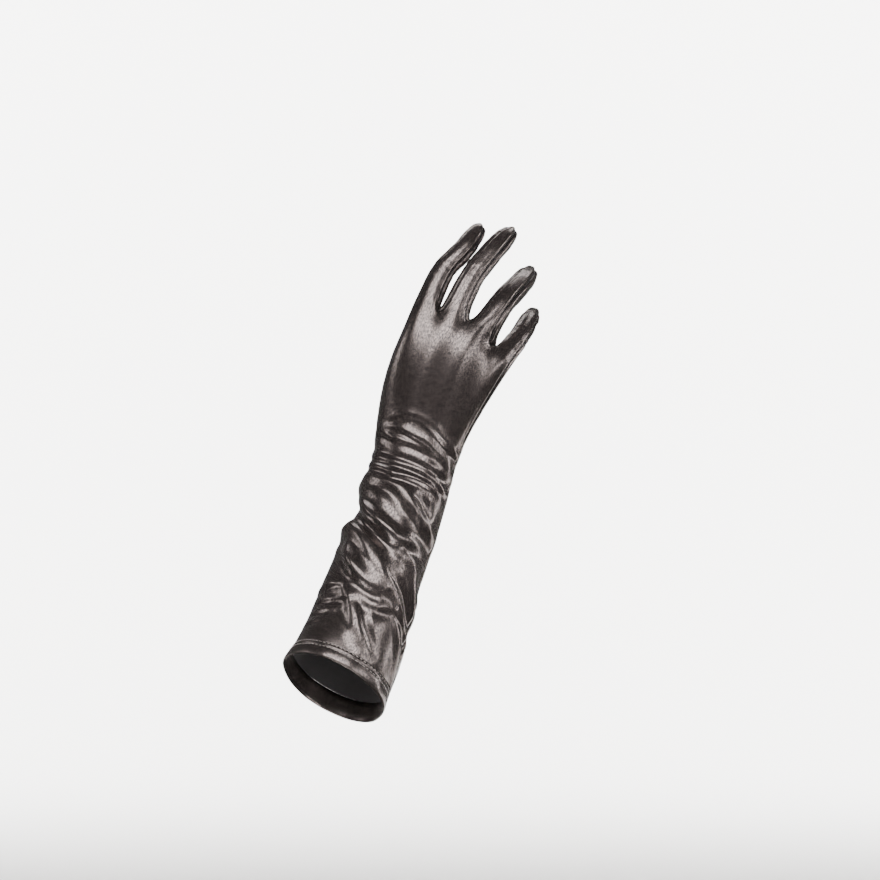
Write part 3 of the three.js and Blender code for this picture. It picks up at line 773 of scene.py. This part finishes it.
@lru_cache
def satin_surface(seam_depth, seam_width, pucker_depth, pucker_length):
    """The whole glove but its hem as one smooth surface, with its folds and seams."""
    points, places, quads, pieces, uv = smooth_net()
    degrees = np.degrees(np.arctan2(places[:, 1], places[:, 0]))
    for folds, profile in ((SLACK, swell), (CREASES, swell), (OVERLAPS, step_down), (WRINKLES, step_down)):
        normals = vertex_normals(points, quads)
        points = points + normals * fold_lift(folds, profile, degrees, places[:, 2])[:, None]
    normals = vertex_normals(points, quads)
    points = points - normals * finger_creases(points)[:, None]
    away = seam_distance(points, quads, pieces)
    normals = vertex_normals(points, quads)
    groove = seam_depth / MM * np.exp(-(away / (seam_width / MM)) ** 2)
    groove -= SEAM_RIDGE["high"] * np.exp(-((away - SEAM_RIDGE["from_seam"]) / SEAM_RIDGE["wide"]) ** 2)
    puckers = ripple(points, pucker_length / MM, PUCKER_SEED) * np.exp(-away / PUCKER_REACH)
    pucker = pucker_depth / MM * puckers
    loose = np.clip((TIGHT_FROM - places[:, 2]) / TIGHTENS_OVER, 0, 1)
    slub = loose * sum(r["high"] * ripple(points, r["length"], r["seed"]) for r in RIPPLES)
    points = points + normals * (pucker + slub - groove)[:, None]
    return {"points": points, "quads": quads, "pieces": pieces, "uv": uv, "seam": away}


def satin_piece(name):
    """One sewn piece: its part of the surface, drawn back from its seams, with its wall."""
    sizes = glove_sizes()
    surface = satin_surface(sizes.seam_depth, sizes.seam_width, sizes.pucker_depth, sizes.pucker_length)
    own = surface["pieces"] == PIECES.index(name)
    quads, uv = surface["quads"][own], surface["uv"][own]
    used, corners = np.unique(quads, return_inverse=True)
    corners = corners.reshape(quads.shape)
    points = surface["points"][used].copy()
    middles = points[corners].mean(axis=1)
    pull = np.zeros_like(points)
    for (a, b), faces in edge_owners(corners, range(len(corners))).items():
        if len(faces) == 1:
            along = unit(points[b] - points[a])
            for end in (a, b):
                inward = middles[faces[0]] - points[end]
                pull[end] += unit(inward - along * np.dot(inward, along))
    length = np.linalg.norm(pull, axis=1)
    rim = length > 0
    points[rim] += pull[rim] / length[rim, None] * SEAM_GAP / 2
    made = object_of(f"satin_{name}", points, corners.tolist())
    lay_cloth(made, uv, surface["seam"][used] * MM)
    apply_modifier(made, "SOLIDIFY", thickness=sizes.satin, offset=-1, use_even_offset=False,
                   material_offset=1, material_offset_rim=0)
    finish_cloth(made)
    return made


def lay_cloth(made, uv, seam_away):
    """Gives a piece its places on the flat cloth, its distances to a seam and its two sides."""
    cloth = made.data.uv_layers.new(name="cloth")
    cloth.data.foreach_set("uv", np.ravel(uv))
    seam = made.data.attributes.new("seam", "FLOAT", "POINT")
    seam.data.foreach_set("value", seam_away)
    for side in ("stretch_satin_right_side", "stretch_satin_wrong_side"):
        made.data.materials.append(material_of(side))


def finish_cloth(made):
    made.data.shade_smooth()
    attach(made, "root")


def face_outwards(made):
    make_active(made)
    bpy.ops.object.mode_set(mode="EDIT")
    bpy.ops.mesh.select_all(action="SELECT")
    bpy.ops.mesh.normals_make_consistent(inside=False)
    bpy.ops.object.mode_set(mode="OBJECT")


# The hem's section, from its top edge down the outside, round the fold and up the inside:
# how far up the arm, and how far out of the satin's own surface.
HEM_SECTION = [
    (12.4, -0.55), (12.1, -0.12), (11.2, 0.18), (9.6, 0.12), (8.6, -0.10), (7.2, 0.25), (4.6, 0.50),
    (2.2, 0.42), (0.8, 0.28), (0.0, -0.25), (0.0, -0.85), (0.8, -1.30), (2.6, -1.35), (6.0, -1.25),
    (9.6, -1.10), (12.4, -1.05),
]
HEM_COLUMNS = 240
# The rows of stitches: how far up the arm, and how far out of the satin's own surface.
STITCH_ROWS = [(12.25, -0.1), (9.0, 0.0)]
STITCH_SIDES = 6
# A stitch's section along its length: its place and the share of the thread's thickness.
STITCH_SHAPE = [(-0.5, 0.25), (-0.36, 0.85), (0.0, 1.0), (0.36, 0.85), (0.5, 0.25)]
# The waves round the hem: how high, how many times each goes round, and where it starts. The
# quiver is quicker, and wanders. All of them fade over the last millimetres below the hem's top
# edge, to the least share of their height.
HEM_WAVES = [{"high": 0.7, "times": 2, "start": 40}, {"high": 0.4, "times": 5, "start": 10}]
HEM_QUIVER = {"high": 0.1, "times": 13, "wander": 90, "wander_times": 3}
HEM_WAVES_FADE = {"over": 4, "least": 0.15}


def hem_wave(degrees, up):
    """How far the hem waves out of the sleeve's section, a little more at its edge."""
    slow = sum(w["high"] * sind(w["times"] * degrees + w["start"]) for w in HEM_WAVES)
    wander = HEM_QUIVER["wander"] * sind(HEM_QUIVER["wander_times"] * degrees)
    quick = HEM_QUIVER["high"] * sind(HEM_QUIVER["times"] * degrees + wander)
    fade = min(1, (HEM_DEPTH - up) / HEM_WAVES_FADE["over"] + HEM_WAVES_FADE["least"])
    return (slow * (1 - up / (2 * HEM_DEPTH)) + quick) * fade


def hem_point(degrees, up, out):
    """A place on the hem, a distance out of the sleeve's surface."""
    centre, axis, _ = sleeve_line().at(up)
    point = sleeve_ring(up, [degrees])[0]
    outward = unit((point - centre) - axis * np.dot(point - centre, axis))
    return point + outward * (out + hem_wave(degrees, up))


def hem_girth(up):
    return girth_of([hem_point(degrees, up, 0) for degrees in range(0, 360, 10)])


def make_hem():
    """The folded hem: its section swept round the cuff."""
    n = len(HEM_SECTION)
    points, faces, flat = [], [], []
    for c in range(HEM_COLUMNS):
        degrees = 180 - 360 * c / HEM_COLUMNS
        points += [hem_point(degrees, up, out) for up, out in HEM_SECTION]
    sides = [math.dist(a, b) for a, b in zip(HEM_SECTION, HEM_SECTION[1:] + HEM_SECTION[:1])]
    travelled = np.cumsum([0, *sides])
    girth = hem_girth(0)
    for c in range(HEM_COLUMNS):
        left, right = c / HEM_COLUMNS * girth, (c + 1) / HEM_COLUMNS * girth
        for s in range(n):
            a, b = c * n, (c + 1) % HEM_COLUMNS * n
            after = (s + 1) % n
            faces.append([a + s, a + after, b + after, b + s])
            low, high = HEM_DEPTH - travelled[s], HEM_DEPTH - travelled[s + 1]
            flat += [(left, low), (left, high), (right, high), (right, low)]
    made = object_of("satin_hem", points, faces)
    away = [min(abs(up - row_up) for row_up, _ in STITCH_ROWS) for up, _ in HEM_SECTION]
    lay_cloth(made, vec(flat) * MM, vec(away * HEM_COLUMNS) * MM)
    apply_modifier(made, "SUBSURF", levels=1, render_levels=1, uv_smooth="NONE")
    face_outwards(made)
    finish_cloth(made)
    return made


def make_stitches():
    """The two rows of stitches that hold the hem, each stitch a short bar of thread."""
    sizes = glove_sizes()
    points, faces = [], []
    for row_up, row_out in STITCH_ROWS:
        count = round(hem_girth(row_up) / (sizes.stitch_pitch / MM))
        length = sizes.stitch_length / (sizes.stitch_pitch * count) * 360
        for k in range(count):
            middle = 360 * k / count
            first = len(points)
            ends = [hem_point(middle + length * s, row_up, row_out) for s in (-0.5, 0.5)]
            run = unit(ends[1] - ends[0])
            centre, axis, _ = sleeve_line().at(row_up)
            out = unit(ends[0] - centre - axis * np.dot(ends[0] - centre, axis))
            up = np.cross(out, run)
            for along, share in STITCH_SHAPE:
                here = hem_point(middle + length * along, row_up, row_out)
                thick = sizes.thread / MM / 2 * share
                for side in range(STITCH_SIDES):
                    turn = 360 * side / STITCH_SIDES
                    points.append(here + (out * cosd(turn) + up * sind(turn)) * thick)
            for s in range(len(STITCH_SHAPE) - 1):
                for side in range(STITCH_SIDES):
                    after = (side + 1) % STITCH_SIDES
                    a, b = first + s * STITCH_SIDES, first + (s + 1) * STITCH_SIDES
                    faces.append([a + side, a + after, b + after, b + side])
            last = len(points) - STITCH_SIDES
            faces.append([first + side for side in reversed(range(STITCH_SIDES))])
            faces.append([last + side for side in range(STITCH_SIDES)])
    made = object_of("hem_stitches", points, faces)
    made.data.materials.append(material_of("spun_polyester_thread"))
    face_outwards(made)
    made.data.shade_smooth()
    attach(made, "root")


def add_node(tree, kind, settings=None, **inputs):
    """Adds a shader node. A setting is a property, and an input a value or a socket."""
    node = tree.nodes.new(kind)
    for key, value in (settings or {}).items():
        setattr(node, key, value)
    for key, value in inputs.items():
        socket = node.inputs[int(key[1:])] if key[0] == "_" else node.inputs[key.replace("_", " ")]
        if isinstance(value, bpy.types.NodeSocket):
            tree.links.new(value, socket)
        else:
            socket.default_value = value
    return node


# Stretch satin, the right side: filament polyester woven with long floats and calendered.
# The floats lie side by side, so the shine is grained, and finer across them than along them.
# The shader is partly metallic, since the shine of the dyed filaments takes their colour.
# A real float is about 0.2 mm wide. The floats and the grain are drawn coarser here, so that
# they show in the render.
FLOAT_WIDTH = 0.9 * MM
FLOAT_LENGTH = 2.6 * MM
FLOAT_HEIGHT = 0.015 * MM
GRAIN = 0.7 * MM
# The parts of the grain's range over which the floats' colour, height and roughness change, and
# how far the roughness does.
FLOATS_SHOW = (0.72, 1.28)
FLOATS_STAND = (0.75, 1.05)
FLOATS_WEAR = (0.6, 1.4)
ROUGHNESS_CHANGE = (-0.03, 0.05)
# Painted shade: within this distance of a seam, or of a row of the hem's stitches, the right side's colour
# darkens to the seam's painted shade.
PAINTED_SEAM_SHADE_REACH = 1.1 * MM
SATIN_IOR = 1.55
SATIN_SHEEN = 0.12
SATIN_SHEEN_ROUGHNESS = 0.35
# The satin's wrong side, the thread and the backdrop's paper. The plies and the pulp are drawn
# coarser than real, as the grain is.
WRONG_SIDE_ROUGHNESS = 0.75
WRONG_SIDE_SHEEN = 0.2
PLY = 0.5 * MM
PLY_HEIGHT = 0.1 * MM
THREAD_ROUGHNESS = 0.42
THREAD_SHEEN = 0.3
PULP = 1.1 * MM
PULP_HEIGHT = 0.2 * MM
PAPER_ROUGHNESS = 0.9
SMOOTH = {"interpolation_type": "SMOOTHSTEP"}


def satin_right_side(tree):
    """The shiny front of the weave, with painted shade down in its seams."""
    colours, sizes = glove_colours(), glove_sizes()
    cloth = add_node(tree, "ShaderNodeUVMap", {"uv_map": "cloth"})
    lengthwise = add_node(tree, "ShaderNodeMapping", Vector=cloth.outputs["UV"],
                          Scale=(1 / FLOAT_WIDTH, 1 / FLOAT_LENGTH, 1))
    floats = add_node(tree, "ShaderNodeTexNoise", Vector=lengthwise.outputs["Vector"],
                      Scale=1.0, Detail=2.0, Roughness=0.6)
    fine = add_node(tree, "ShaderNodeMapping", Vector=cloth.outputs["UV"],
                    Scale=(1 / GRAIN, 1 / GRAIN, 1))
    speckle = add_node(tree, "ShaderNodeTexNoise", Vector=fine.outputs["Vector"],
                       Scale=1.0, Detail=3.0, Roughness=0.7)
    both = add_node(tree, "ShaderNodeMath", {"operation": "ADD"}, _0=floats.outputs["Fac"],
                    _1=speckle.outputs["Fac"])
    shown = add_node(tree, "ShaderNodeMapRange", SMOOTH, Value=both.outputs["Value"],
                     From_Min=FLOATS_SHOW[0], From_Max=FLOATS_SHOW[1])
    woven = add_node(tree, "ShaderNodeMix", {"data_type": "RGBA"}, _0=shown.outputs["Result"],
                     _6=(*colours.gap, 1), _7=(*colours.satin, 1))
    # Painted shade: near a seam the colour darkens towards the seam's painted shade.
    seam = add_node(tree, "ShaderNodeAttribute", {"attribute_name": "seam"})
    away = add_node(tree, "ShaderNodeMapRange", SMOOTH, Value=seam.outputs["Fac"], From_Max=PAINTED_SEAM_SHADE_REACH)
    colour = add_node(tree, "ShaderNodeMix", {"data_type": "RGBA"}, _0=away.outputs["Result"],
                      _6=(*colours.painted_seam_shade, 1), _7=woven.outputs[2])
    worn = add_node(tree, "ShaderNodeMapRange", Value=both.outputs["Value"],
                    From_Min=FLOATS_WEAR[0], From_Max=FLOATS_WEAR[1],
                    To_Min=sizes.satin_roughness + ROUGHNESS_CHANGE[0],
                    To_Max=sizes.satin_roughness + ROUGHNESS_CHANGE[1])
    height = add_node(tree, "ShaderNodeMapRange", SMOOTH, Value=both.outputs["Value"],
                      From_Min=FLOATS_STAND[0], From_Max=FLOATS_STAND[1])
    bump = add_node(tree, "ShaderNodeBump", Strength=1.0, Distance=FLOAT_HEIGHT,
                    Height=height.outputs["Result"])
    shader = add_node(tree, "ShaderNodeBsdfPrincipled", Base_Color=colour.outputs[2],
                      Roughness=worn.outputs["Result"], Normal=bump.outputs["Normal"],
                      Metallic=sizes.satin_lustre, IOR=SATIN_IOR,
                      Specular_IOR_Level=sizes.satin_gloss, Sheen_Weight=SATIN_SHEEN,
                      Sheen_Roughness=SATIN_SHEEN_ROUGHNESS, Sheen_Tint=(*colours.sheen, 1))
    add_node(tree, "ShaderNodeOutputMaterial", Surface=shader.outputs["BSDF"])


def satin_wrong_side(tree):
    """The matt back of the weave, with no floats to shine."""
    cloth = add_node(tree, "ShaderNodeUVMap", {"uv_map": "cloth"})
    fine = add_node(tree, "ShaderNodeMapping", Vector=cloth.outputs["UV"],
                    Scale=(1 / GRAIN, 1 / GRAIN, 1))
    weave = add_node(tree, "ShaderNodeTexNoise", Vector=fine.outputs["Vector"], Scale=1.0, Detail=3.0)
    bump = add_node(tree, "ShaderNodeBump", Strength=0.6, Distance=FLOAT_HEIGHT,
                    Height=weave.outputs["Fac"])
    shader = add_node(tree, "ShaderNodeBsdfPrincipled", Base_Color=(*glove_colours().inside, 1),
                      Roughness=WRONG_SIDE_ROUGHNESS, Sheen_Weight=WRONG_SIDE_SHEEN,
                      Normal=bump.outputs["Normal"])
    add_node(tree, "ShaderNodeOutputMaterial", Surface=shader.outputs["BSDF"])


def polyester_thread(tree):
    """Spun black thread: two plies twisted, with a soft gloss. Its colour is a painted highlight, a light
    grey that stands for the glints of the black thread.
    """
    place = add_node(tree, "ShaderNodeTexCoord")
    plies = add_node(tree, "ShaderNodeTexNoise", Vector=place.outputs["Object"], Scale=1 / PLY,
                     Detail=2.0)
    bump = add_node(tree, "ShaderNodeBump", Strength=0.5, Distance=PLY_HEIGHT,
                    Height=plies.outputs["Fac"])
    # Painted highlight: the base colour is light grey for the black thread's glints.
    shader = add_node(tree, "ShaderNodeBsdfPrincipled", Base_Color=(*glove_colours().thread, 1),
                      Roughness=THREAD_ROUGHNESS, Sheen_Weight=THREAD_SHEEN,
                      Normal=bump.outputs["Normal"])
    add_node(tree, "ShaderNodeOutputMaterial", Surface=shader.outputs["BSDF"])


def backdrop_paper(tree):
    """Matt seamless paper, with hardly any gloss."""
    place = add_node(tree, "ShaderNodeTexCoord")
    pulp = add_node(tree, "ShaderNodeTexNoise", Vector=place.outputs["Object"], Scale=1 / PULP,
                    Detail=2.0)
    bump = add_node(tree, "ShaderNodeBump", Strength=0.1, Distance=PULP_HEIGHT,
                    Height=pulp.outputs["Fac"])
    shader = add_node(tree, "ShaderNodeBsdfPrincipled", Base_Color=(*glove_colours().floor, 1),
                      Roughness=PAPER_ROUGHNESS, Normal=bump.outputs["Normal"])
    add_node(tree, "ShaderNodeOutputMaterial", Surface=shader.outputs["BSDF"])


MATERIALS = {
    "stretch_satin_right_side": satin_right_side,
    "stretch_satin_wrong_side": satin_wrong_side,
    "spun_polyester_thread": polyester_thread,
    "matt_backdrop_paper": backdrop_paper,
}


def material_of(name):
    """The material of that name, with its nodes made anew from what is set in the scene."""
    material = bpy.data.materials.get(name) or bpy.data.materials.new(name)
    material.use_nodes = True
    material.node_tree.nodes.clear()
    MATERIALS[name](material.node_tree)
    return material


class GloveSizes(bpy.types.PropertyGroup):
    """The sizes that a user would change, in metres."""

    satin: FloatProperty(name="Satin", description="Thickness of the satin", default=0.5 * MM,
                         min=0.2 * MM, max=2 * MM, unit="LENGTH")
    seam_depth: FloatProperty(name="Seam depth", description="How deep a seam is drawn in",
                              default=0.8 * MM, min=0, max=2 * MM, unit="LENGTH")
    seam_width: FloatProperty(name="Seam width", description="How wide a seam is drawn in",
                              default=1.1 * MM, min=0.3 * MM, max=5 * MM, unit="LENGTH")
    pucker_depth: FloatProperty(name="Pucker depth", description="Height of the puckers at a seam",
                                default=0.18 * MM, min=0, max=2 * MM, unit="LENGTH")
    pucker_length: FloatProperty(name="Pucker length", description="From one pucker to the next",
                                 default=7 * MM, min=2 * MM, max=20 * MM, unit="LENGTH")
    stitch_pitch: FloatProperty(name="Stitch pitch", description="From one hem stitch to the next",
                                default=3.0 * MM, min=1.5 * MM, max=6 * MM, unit="LENGTH")
    stitch_length: FloatProperty(name="Stitch length", description="Length of a hem stitch",
                                 default=2.0 * MM, min=1 * MM, max=5 * MM, unit="LENGTH")
    thread: FloatProperty(name="Thread", description="Thickness of the hem's thread",
                          default=0.8 * MM, min=0.2 * MM, max=1.5 * MM, unit="LENGTH")
    satin_roughness: FloatProperty(name="Satin roughness", description="Roughness of the right side",
                                   default=0.22, min=0.05, max=1, subtype="FACTOR")
    satin_lustre: FloatProperty(name="Satin lustre",
                                description="How much of the shine takes the satin's colour",
                                default=0.87, min=0, max=1, subtype="FACTOR")
    satin_gloss: FloatProperty(name="Satin gloss", description="Strength of the right side's shine",
                               default=0.9, min=0, max=1, subtype="FACTOR")


class GloveColours(bpy.types.PropertyGroup):
    """The colours that a user would change."""

    satin: FloatVectorProperty(name="Satin", description="Colour of the right side's floats",
                               subtype="COLOR", size=3, min=0, max=1, default=linear("#7c716d"))
    gap: FloatVectorProperty(name="Gap", description="Colour between the right side's floats",
                             subtype="COLOR", size=3, min=0, max=1, default=linear("#343132"))
    sheen: FloatVectorProperty(name="Sheen", description="Tint of the satin's sheen", subtype="COLOR",
                               size=3, min=0, max=1, default=linear("#cfc4c0"))
    # The painted shade that the right side darkens to down in a seam.
    painted_seam_shade: FloatVectorProperty(name="Seam shade", description="Colour down in a seam",
                                    subtype="COLOR", size=3, min=0, max=1, default=linear("#0d0b0b"))
    inside: FloatVectorProperty(name="Inside", description="Colour of the wrong side", subtype="COLOR",
                                size=3, min=0, max=1, default=linear("#1c1819"))
    # Painted highlight: the thread is black, and this light grey stands for its glints.
    thread: FloatVectorProperty(name="Thread", description="Colour of the thread", subtype="COLOR",
                                size=3, min=0, max=1, default=linear("#766e6a"))
    floor: FloatVectorProperty(name="Floor", description="Colour of the floor", subtype="COLOR",
                               size=3, min=0, max=1, default=linear("#f4f3f1"))


def make_piece(name):
    made = satin_piece(name)
    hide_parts(name)


class GLOVE_OT_panels(bpy.types.Operator):
    """Makes the back and the palm, each cut with its half of the sleeve"""

    bl_idname = "glove.panels"
    bl_label = "Back and palm"

    def execute(self, context):
        for name in ("back_panel", "palm_panel"):
            make_piece(name)
        return {"FINISHED"}


class GLOVE_OT_fourchettes(bpy.types.Operator):
    """Makes the three strips between the fingers"""

    bl_idname = "glove.fourchettes"
    bl_label = "Fourchettes"

    def execute(self, context):
        for name in PIECES:
            if name.startswith("fourchette"):
                make_piece(name)
        return {"FINISHED"}


class GLOVE_OT_thumb(bpy.types.Operator):
    """Makes the thumb, set in its opening in the palm"""

    bl_idname = "glove.thumb"
    bl_label = "Thumb"

    def execute(self, context):
        make_piece("thumb_panel")
        return {"FINISHED"}


class GLOVE_OT_hem(bpy.types.Operator):
    """Makes the folded hem and the two rows of stitches that hold it"""

    bl_idname = "glove.hem"
    bl_label = "Hem"

    def execute(self, context):
        hem = make_hem()
        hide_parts("cuff_hem")
        make_stitches()
        return {"FINISHED"}


# The photographed view: the camera stands level, far in front of the back of the hand, and its
# lens gives the photo's scale at the glove.
CAMERA_PLACE = (70.62, -2400, 163.68)
SENSOR_WIDTH = 36
PHOTO_WIDTH = 880
MM_PER_PIXEL = 0.66
LENS = SENSOR_WIDTH * -CAMERA_PLACE[1] / (PHOTO_WIDTH * MM_PER_PIXEL)
# The floor: how far under the cuff it lies, where it starts, and the part of it behind the
# glove that the satin mirrors.
FLOOR_DROP = 150
FLOOR_FRONT = -1900
MIRRORED_FROM = 250
MIRRORED_TO = 700
STAGE_WIDTH = 8000
BACKDROP_HEIGHT = 4000
# Where the floor starts to curve up, and the curve's radius.
COVE_START = 1200
COVE = 800
# The air looks pale from the camera, but sheds this share of its light on the rest.
WORLD_COLOUR = "#f2f3f5"
WORLD_LIGHT = 0.06
# The lamps: where each soft oblong stands, what it faces, its size and its power. The front
# strip hangs high between the camera and the glove, and lights the knuckles. The next four
# light the turned sides and the hem's lower edge, and the back strip the palm's side. The last
# two light the backdrop alone.
HAND = (60, 60, 170)
LAMPS = {
    "front_strip": {"at": (-83, -1575, 2058), "facing": HAND, "wide": 2754, "high": 1155, "watts": 70},
    "right_low": {"at": (1600, -1050, 900), "facing": HAND, "wide": 1500, "high": 480, "watts": 10},
    "left_strip": {"at": (-1900, 60, 1170), "facing": HAND, "wide": 1000, "high": 450, "watts": 5},
    "right_strip": {"at": (1700, 350, 600), "facing": HAND, "wide": 160, "high": 1200, "watts": 9},
    "low_strip": {"at": (-100, -950, -100), "facing": (40, 0, 0), "wide": 1500, "high": 70, "watts": 7},
    "back_strip": {"at": (200, 1500, 2300), "facing": HAND, "wide": 2400, "high": 700, "watts": 21},
    "left_backdrop": {
        "at": (-1000, 500, 1100), "facing": (-1000, 2000, 700), "wide": 900, "high": 900, "watts": 140,
    },
    "right_backdrop": {
        "at": (1000, 500, 1100), "facing": (1000, 2000, 700), "wide": 900, "high": 900, "watts": 140,
    },
}


def make_sheet_of_paper(name, section):
    """One sheet of the stage, from its section of places behind and up, across its width."""
    points = [(x, y, z) for x in (-STAGE_WIDTH / 2, STAGE_WIDTH / 2) for y, z in section]
    n = len(section)
    made = object_of(name, points, [[i, i + n, i + n + 1, i + 1] for i in range(n - 1)])
    made.data.materials.append(material_of("matt_backdrop_paper"))
    made.data.shade_smooth()
    return made


def make_stage():
    """The plain pale floor, which curves up into a backdrop. The palm's satin mirrors the floor
    close behind the glove. No satin mirrors the rest, so that the turned edges stay dark."""
    low = -FLOOR_DROP
    cove = [(COVE_START + COVE * sind(a), low + COVE - COVE * cosd(a)) for a in range(0, 91, 10)]
    rise = [(MIRRORED_TO, low), *cove, (COVE_START + COVE, low + BACKDROP_HEIGHT)]
    front = make_sheet_of_paper("floor_in_front", [(FLOOR_FRONT, low), (MIRRORED_FROM, low)])
    make_sheet_of_paper("floor_behind", [(MIRRORED_FROM, low), (MIRRORED_TO, low)])
    backdrop = make_sheet_of_paper("backdrop", rise)
    front.visible_glossy = False
    backdrop.visible_glossy = False


def make_camera(scene):
    camera = bpy.data.objects.new("camera", bpy.data.cameras.new("camera"))
    scene.collection.objects.link(camera)
    camera.location = Vector(CAMERA_PLACE) * MM
    camera.rotation_euler = (math.pi / 2, 0, 0)
    camera.data.lens = LENS
    camera.data.sensor_width = SENSOR_WIDTH
    scene.camera = camera


def make_lamps(scene):
    for name, lamp in LAMPS.items():
        light = bpy.data.lights.new(name, "AREA")
        light.shape = "RECTANGLE"
        light.size, light.size_y = lamp["wide"] * MM, lamp["high"] * MM
        light.energy = lamp["watts"]
        made = bpy.data.objects.new(name, light)
        scene.collection.objects.link(made)
        made.location = Vector(lamp["at"]) * MM
        aim = Vector(lamp["facing"]) - Vector(lamp["at"])
        made.rotation_euler = aim.to_track_quat("-Z", "Y").to_euler()


def make_world(scene):
    scene.world = bpy.data.worlds.new("studio")
    scene.world.use_nodes = True
    tree = scene.world.node_tree
    tree.nodes.clear()
    rays = add_node(tree, "ShaderNodeLightPath")
    strength = add_node(tree, "ShaderNodeMapRange", Value=rays.outputs["Is Camera Ray"],
                        To_Min=WORLD_LIGHT)
    air = add_node(tree, "ShaderNodeBackground", Color=(*linear(WORLD_COLOUR), 1),
                   Strength=strength.outputs["Result"])
    add_node(tree, "ShaderNodeOutputWorld", Surface=air.outputs["Background"])


class GLOVE_OT_stage(bpy.types.Operator):
    """Makes the floor, the lamps and the camera"""

    bl_idname = "glove.stage"
    bl_label = "Floor, lamps and camera"

    def execute(self, context):
        make_camera(context.scene)
        make_lamps(context.scene)
        make_world(context.scene)
        make_stage()
        return {"FINISHED"}


STEPS = ("stage", "panels", "fourchettes", "thumb", "hem")


class GLOVE_PT_sidebar(bpy.types.Panel):
    """Lists the glove's pieces and sizes in the sidebar"""

    bl_idname = "GLOVE_PT_sidebar"
    bl_label = "Long satin glove"
    bl_space_type = "VIEW_3D"
    bl_region_type = "UI"
    bl_category = "Glove"

    def draw(self, context):
        for step in STEPS:
            self.layout.operator(f"glove.{step}")
        for group in (context.scene.glove_sizes, context.scene.glove_colours):
            column = self.layout.column()
            for key in group.bl_rna.properties.keys():
                if key not in ("rna_type", "name"):
                    column.prop(group, key)


CLASSES = (
    GloveSizes, GloveColours, GLOVE_OT_panels, GLOVE_OT_fourchettes, GLOVE_OT_thumb, GLOVE_OT_hem,
    GLOVE_OT_stage, GLOVE_PT_sidebar,
)


def register():
    for each in CLASSES:
        bpy.utils.register_class(each)
    bpy.types.Scene.glove_sizes = PointerProperty(type=GloveSizes)
    bpy.types.Scene.glove_colours = PointerProperty(type=GloveColours)


def unregister():
    del bpy.types.Scene.glove_colours
    del bpy.types.Scene.glove_sizes
    for each in reversed(CLASSES):
        bpy.utils.unregister_class(each)


def main():
    register()
    for step in STEPS:
        getattr(bpy.ops.glove, step)()


if __name__ == "__main__":
    main()
